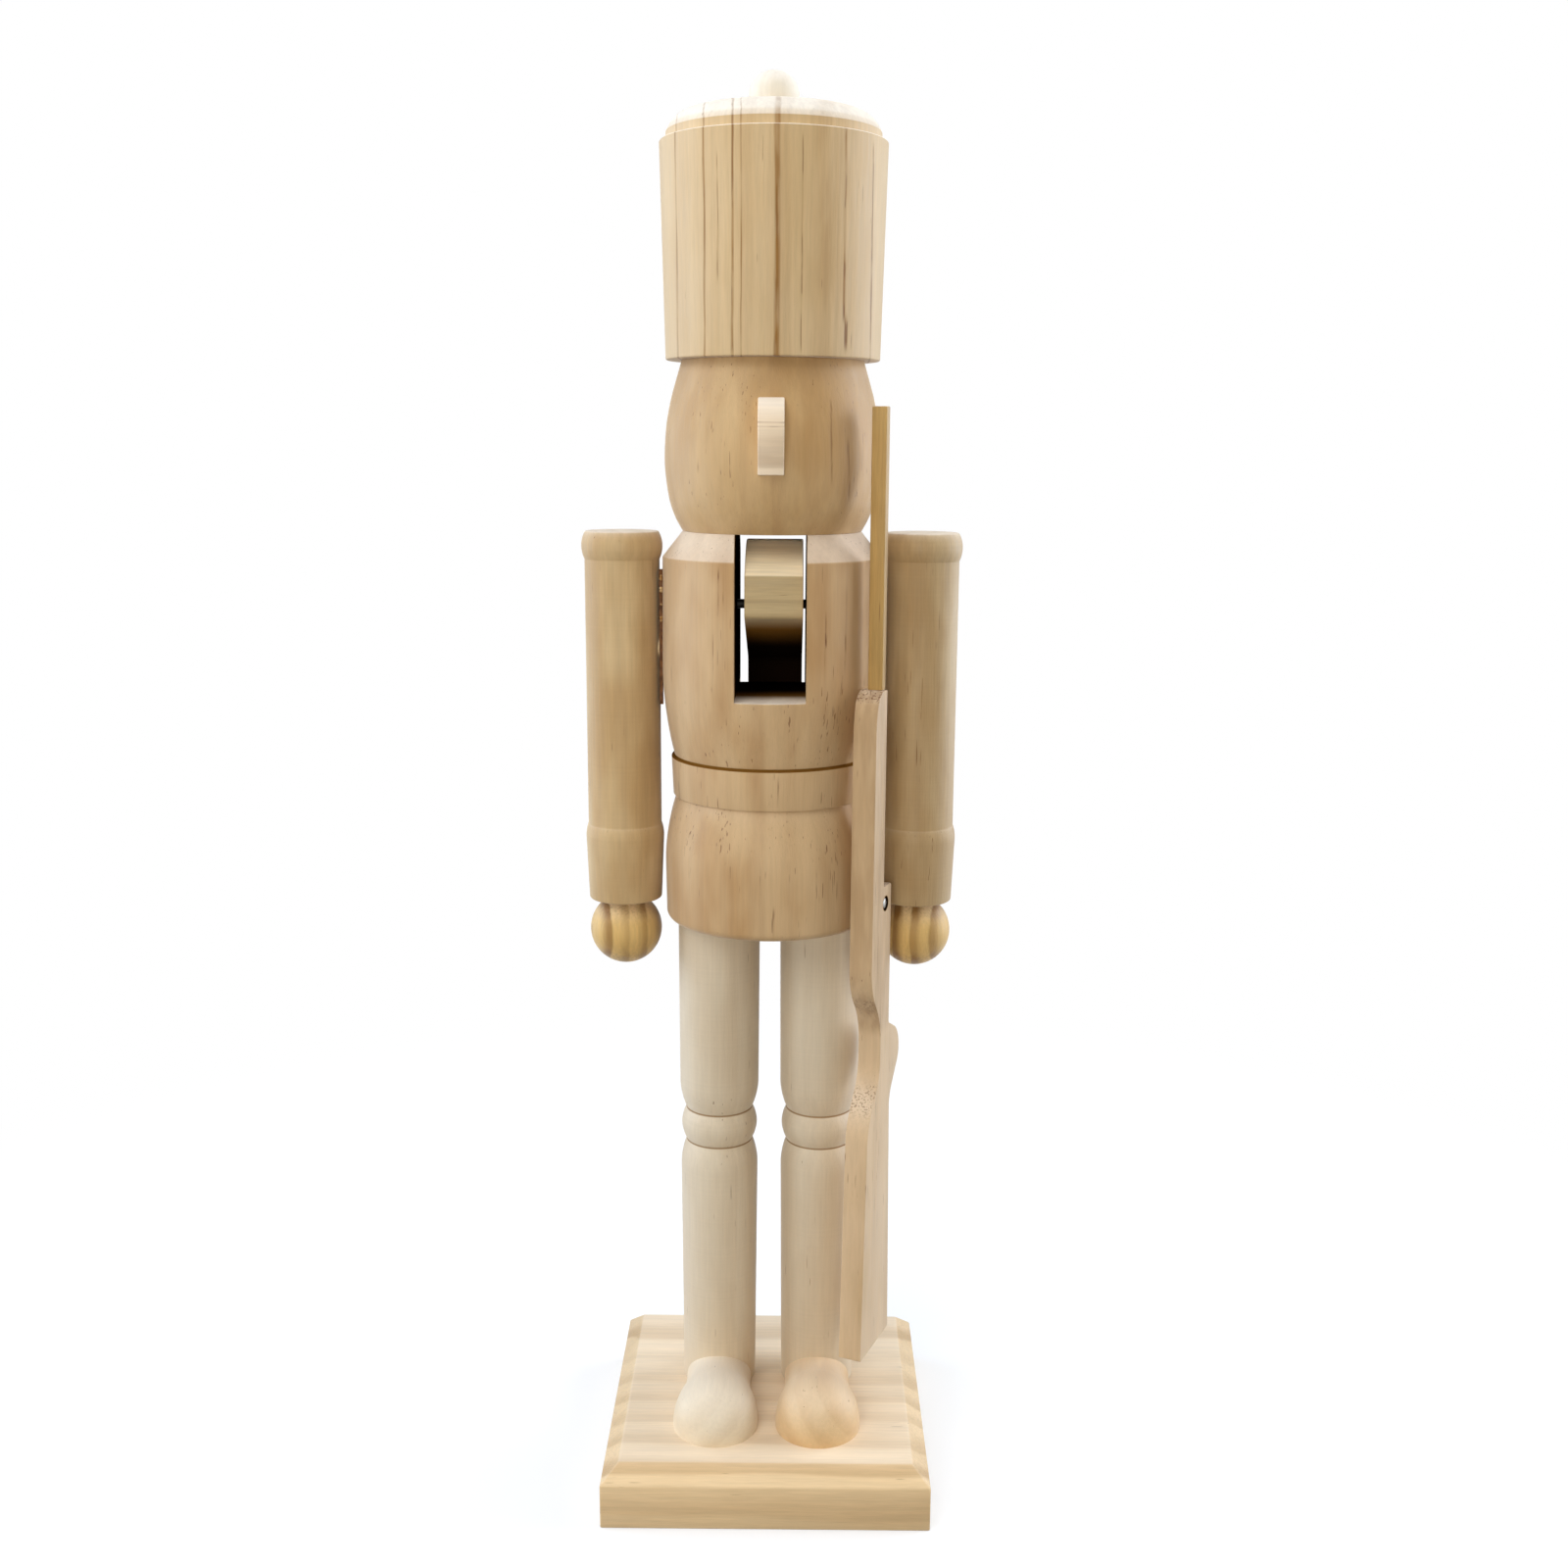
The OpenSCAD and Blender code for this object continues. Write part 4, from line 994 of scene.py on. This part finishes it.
# %% [markdown]
# ## Glue
# Each arm is glued along the line where it meets the chest. A dark seam fills the narrow gap: dried glue, with
# a painted contact shadow. At the front of one arm some glue came out in a row of amber drops. A thin block is
# sliced and its slices are drawn in and out for the uneven seam, and overlapping spheres are enough for such
# small drops.

# %% Glue and shadow seams
SEAM_LOW = 217.5
SEAM_HIGH = 254.0
SEAM_HALF_WIDE = 0.45
SEAM_HALF_DEEP = 0.7
SEAM_FRONT = 3.7
TO_CHEST = 0.3


def dried_glue(name, clear, brown):
    """Cloudy glue with a dull shine."""
    material, surface, place = new_material(name)
    cloud = place.vector("MULTIPLY", (1 / MM,) * 3).noise((1.5, 1.5), detail=2.0)
    feed(surface, "Base Color", cloud.rise(0.3, 0.7).between(eye(*clear), eye(*brown)))
    feed(surface, "Roughness", 0.35 + 0.3 * cloud)
    keep_even(surface, {"Specular IOR Level": 0.15})
    return material


seam_middle = (CHEST + arm_side - SLEEVE) / 2 - TO_CHEST
seams = bmesh.new()
for side in (seam_middle, -seam_middle):
    strip = block((-SEAM_HALF_WIDE, -SEAM_HALF_DEEP, SEAM_LOW), (SEAM_HALF_WIDE, SEAM_HALF_DEEP, SEAM_HIGH))
    upright = [e for e in strip.edges if abs(e.verts[0].co.z - e.verts[1].co.z) > 1]
    bmesh.ops.subdivide_edges(strip, edges=upright, cuts=24, use_grid_fill=True)
    for point in strip.verts:
        point.co.y *= 0.75 + 0.25 * sin(1.7 * point.co.z) * cos(0.63 * point.co.z)
    join(seams, move(strip, side, y=FIGURE_BACK - SEAM_FRONT))
# The dark seam is dried glue with a painted contact shadow in its colour.
finish_piece("glue_and_shadow_seams", seams, dried_glue("glue_and_painted_shadow", (112, 70, 32), (74, 43, 17)))

# %% Glue drops
DROPS_FRONT = 4.5
GLUE_DROPS = [
    (252.2, 0.4), (251.5, 0.5), (248.9, 0.5), (248.2, 0.42), (244.6, 0.3), (241.0, 0.5), (240.3, 0.36)]
drops = bmesh.new()
for height, radius in GLUE_DROPS:
    middle = Matrix.Translation((-seam_middle + 0.1, FIGURE_BACK - DROPS_FRONT, height))
    bmesh.ops.create_icosphere(drops, subdivisions=3, radius=radius, matrix=middle)
finish_piece("glue_beads", drops, dried_glue("amber_glue", (204, 174, 126), (150, 106, 56)))

# %% [markdown]
# ## Hidden metal and dowels
# The pin and the dowels keep their CAD shapes. Only slivers of them show, in the slot and between arm and
# chest, but each still gets a finish of its own.

# %% Carried pieces
dowel_wood = bare_wood(
    "dowel_birch", (222, 196, 154), (210, 180, 136), (172, 134, 90), pith=(-40, 30), ring=1.6, rings=0.4,
    wander=0.3, flecks=0.05, fibre=0.15, seed=19)
for name, finish in (("pivot_pin", dark_steel), ("leg_dowels", dowel_wood), ("head_dowels", dowel_wood),
                     ("hat_dowel", dowel_wood), ("arm_dowels", dowel_wood), ("hand_dowels", dowel_wood)):
    mesh = frame["nodes"][name].data
    mesh.materials.clear()
    mesh.materials.append(finish)
    print(name, "keeps its CAD shape")

# %% [markdown]
# ## Floor
# The picture has a pure white background. The floor is a pale sheet that takes the shadow, and further out
# it fades to plain white for the camera, so that no horizon shows. Light that bounces off it towards the
# figure comes from a duller grey, so that the white doesn't light the figure from below.

# %% Floor
FLOOR_GLOW = 0.46
FADE_START = 0.10
FADE_END = 0.40


def camera_sees(tree):
    """1 for rays that the camera, a mirror or glass sends to the background."""
    path = tree.nodes.new("ShaderNodeLightPath")
    seen = Shade(path.outputs["Is Camera Ray"]) + Shade(path.outputs["Is Glossy Ray"])
    return (seen + Shade(path.outputs["Is Transmission Ray"])).rise(0, 0.5)


floor_mesh = bpy.data.meshes.new("floor")
sheet = bmesh.new()
bmesh.ops.create_grid(sheet, x_segments=2, y_segments=2, size=4)
sheet.to_mesh(floor_mesh)
sheet.free()
floor = bpy.data.objects.new("floor", floor_mesh)
bpy.context.collection.objects.link(floor)
paper, paper_surface, paper_place = new_material("pale_floor")
keep_even(paper_surface, {"Base Color": eye(200, 200, 200), "Roughness": 0.9, "Specular IOR Level": 0.1})
seen = camera_sees(paper.node_tree)
white = seen.node("ShaderNodeEmission", {}, {"Color": WHITE, "Strength": 1.0})
shade = seen.node("ShaderNodeBsdfDiffuse", {}, {"Color": eye(130, 128, 126)})
glow = seen.node("ShaderNodeEmission", {}, {"Strength": FLOOR_GLOW})
bright = seen.node("ShaderNodeAddShader", {}, {0: Shade(paper_surface.outputs[0]), 1: glow})
faded = paper_place.length().rise(FADE_START, FADE_END)
near = seen.node("ShaderNodeMixShader", {}, {0: faded, 1: bright, 2: white})
mixed = seen.node("ShaderNodeMixShader", {}, {0: seen, 1: shade, 2: near})
feed(paper.node_tree.nodes["Material Output"], "Surface", mixed)
floor_mesh.materials.append(paper)
print("the floor fades to white from", FADE_START, "to", FADE_END, "m")

# %% [markdown]
# ## Room
# The camera sees plain white beyond the floor. On the figure the room only throws a faint warm light, as
# pale walls would, which keeps the shadows from going black.

# %% Room
ROOM = 0.11
WARM_WALLS = (1.0, 0.90, 0.74, 1.0)
world = bpy.data.worlds.new("white_room")
bpy.context.scene.world = world
world.use_nodes = True
background = world.node_tree.nodes["Background"]
seen = camera_sees(world.node_tree)
feed(background, "Strength", ROOM + (1 - ROOM) * seen)
feed(background, "Color", seen.between(WARM_WALLS, WHITE))
print("the room lights the figure with", ROOM)

# %% [markdown]
# ## Lamps
# The photograph was taken in soft light from all round. A large cool lamp above makes the level surfaces
# bright, one at the front left models the turnings, and a low warm one in front reaches the jaw under the
# head. Two cool ones, at the left and at the right a little behind, draw bright edges along the arms and
# the hat. Their strengths are chosen so that a colour looks about as it was written on a surface that faces
# the front.

# %% Lamps
def soft_lamp(name, place, aim, wide, high, power, colour):
    """A flat lamp at a place, turned to what it lights."""
    lamp = bpy.data.lights.new(name, "AREA")
    lamp.color = colour
    lamp.shape = "RECTANGLE"
    lamp.size = wide
    lamp.size_y = high
    lamp.energy = power
    holder = bpy.data.objects.new(name, lamp)
    holder.location = place
    holder.rotation_euler = (Vector(aim) - Vector(place)).to_track_quat("-Z", "Y").to_euler()
    bpy.context.collection.objects.link(holder)
    print(name, "gives", power, "W")


soft_lamp("top_lamp", (0.0, -0.10, 1.35), (0, 0, 0.3), 1.0, 1.0, 6.6, (0.91, 1.0, 1.15))
soft_lamp("key_lamp", (-0.62, -0.84, 0.98), (0, 0, 0.25), 0.8, 0.7, 5.4, (1.0, 0.99, 0.97))
soft_lamp("front_lamp", (-0.15, -1.20, 0.33), (0, 0, 0.25), 0.6, 0.24, 5.6, (1.0, 0.97, 0.88))
soft_lamp("left_lamp", (-0.95, 0.15, 0.40), (0, 0, 0.2), 0.9, 0.9, 7.8, (0.85, 1.0, 1.24))
soft_lamp("right_lamp", (0.95, 0.28, 0.40), (0, 0, 0.2), 0.9, 0.9, 12.0, (0.92, 1.0, 1.12))

# %% [markdown]
# ## Camera
# The camera stands a little under half a metre in front, level with the head, and looks slightly down. Its
# place and lens follow from the sizes of the base and the heights of the seams in the photograph, and so do
# its small turn and lean.

# %% Camera
LENS = 39.19
SENSOR = 36.0
CAMERA_PLACE = (0.00577, -0.4566, 0.2869)
LOOK_DOWN = 11.238
LOOK_ASIDE = 0.263
LEAN = 0.365
camera_data = bpy.data.cameras.new("camera")
camera_data.lens = LENS
camera_data.sensor_width = SENSOR
camera = bpy.data.objects.new("camera", camera_data)
looking = Euler((radians(90 - LOOK_DOWN), 0, radians(LOOK_ASIDE))).to_matrix()
looking = looking @ Matrix.Rotation(radians(LEAN), 3, "Z")
camera.matrix_world = Matrix.Translation(CAMERA_PLACE) @ looking.to_4x4()
bpy.context.collection.objects.link(camera)
bpy.context.scene.camera = camera
bpy.context.scene.view_settings.view_transform = "Standard"
print("camera at", [round(part, 3) for part in camera.location])
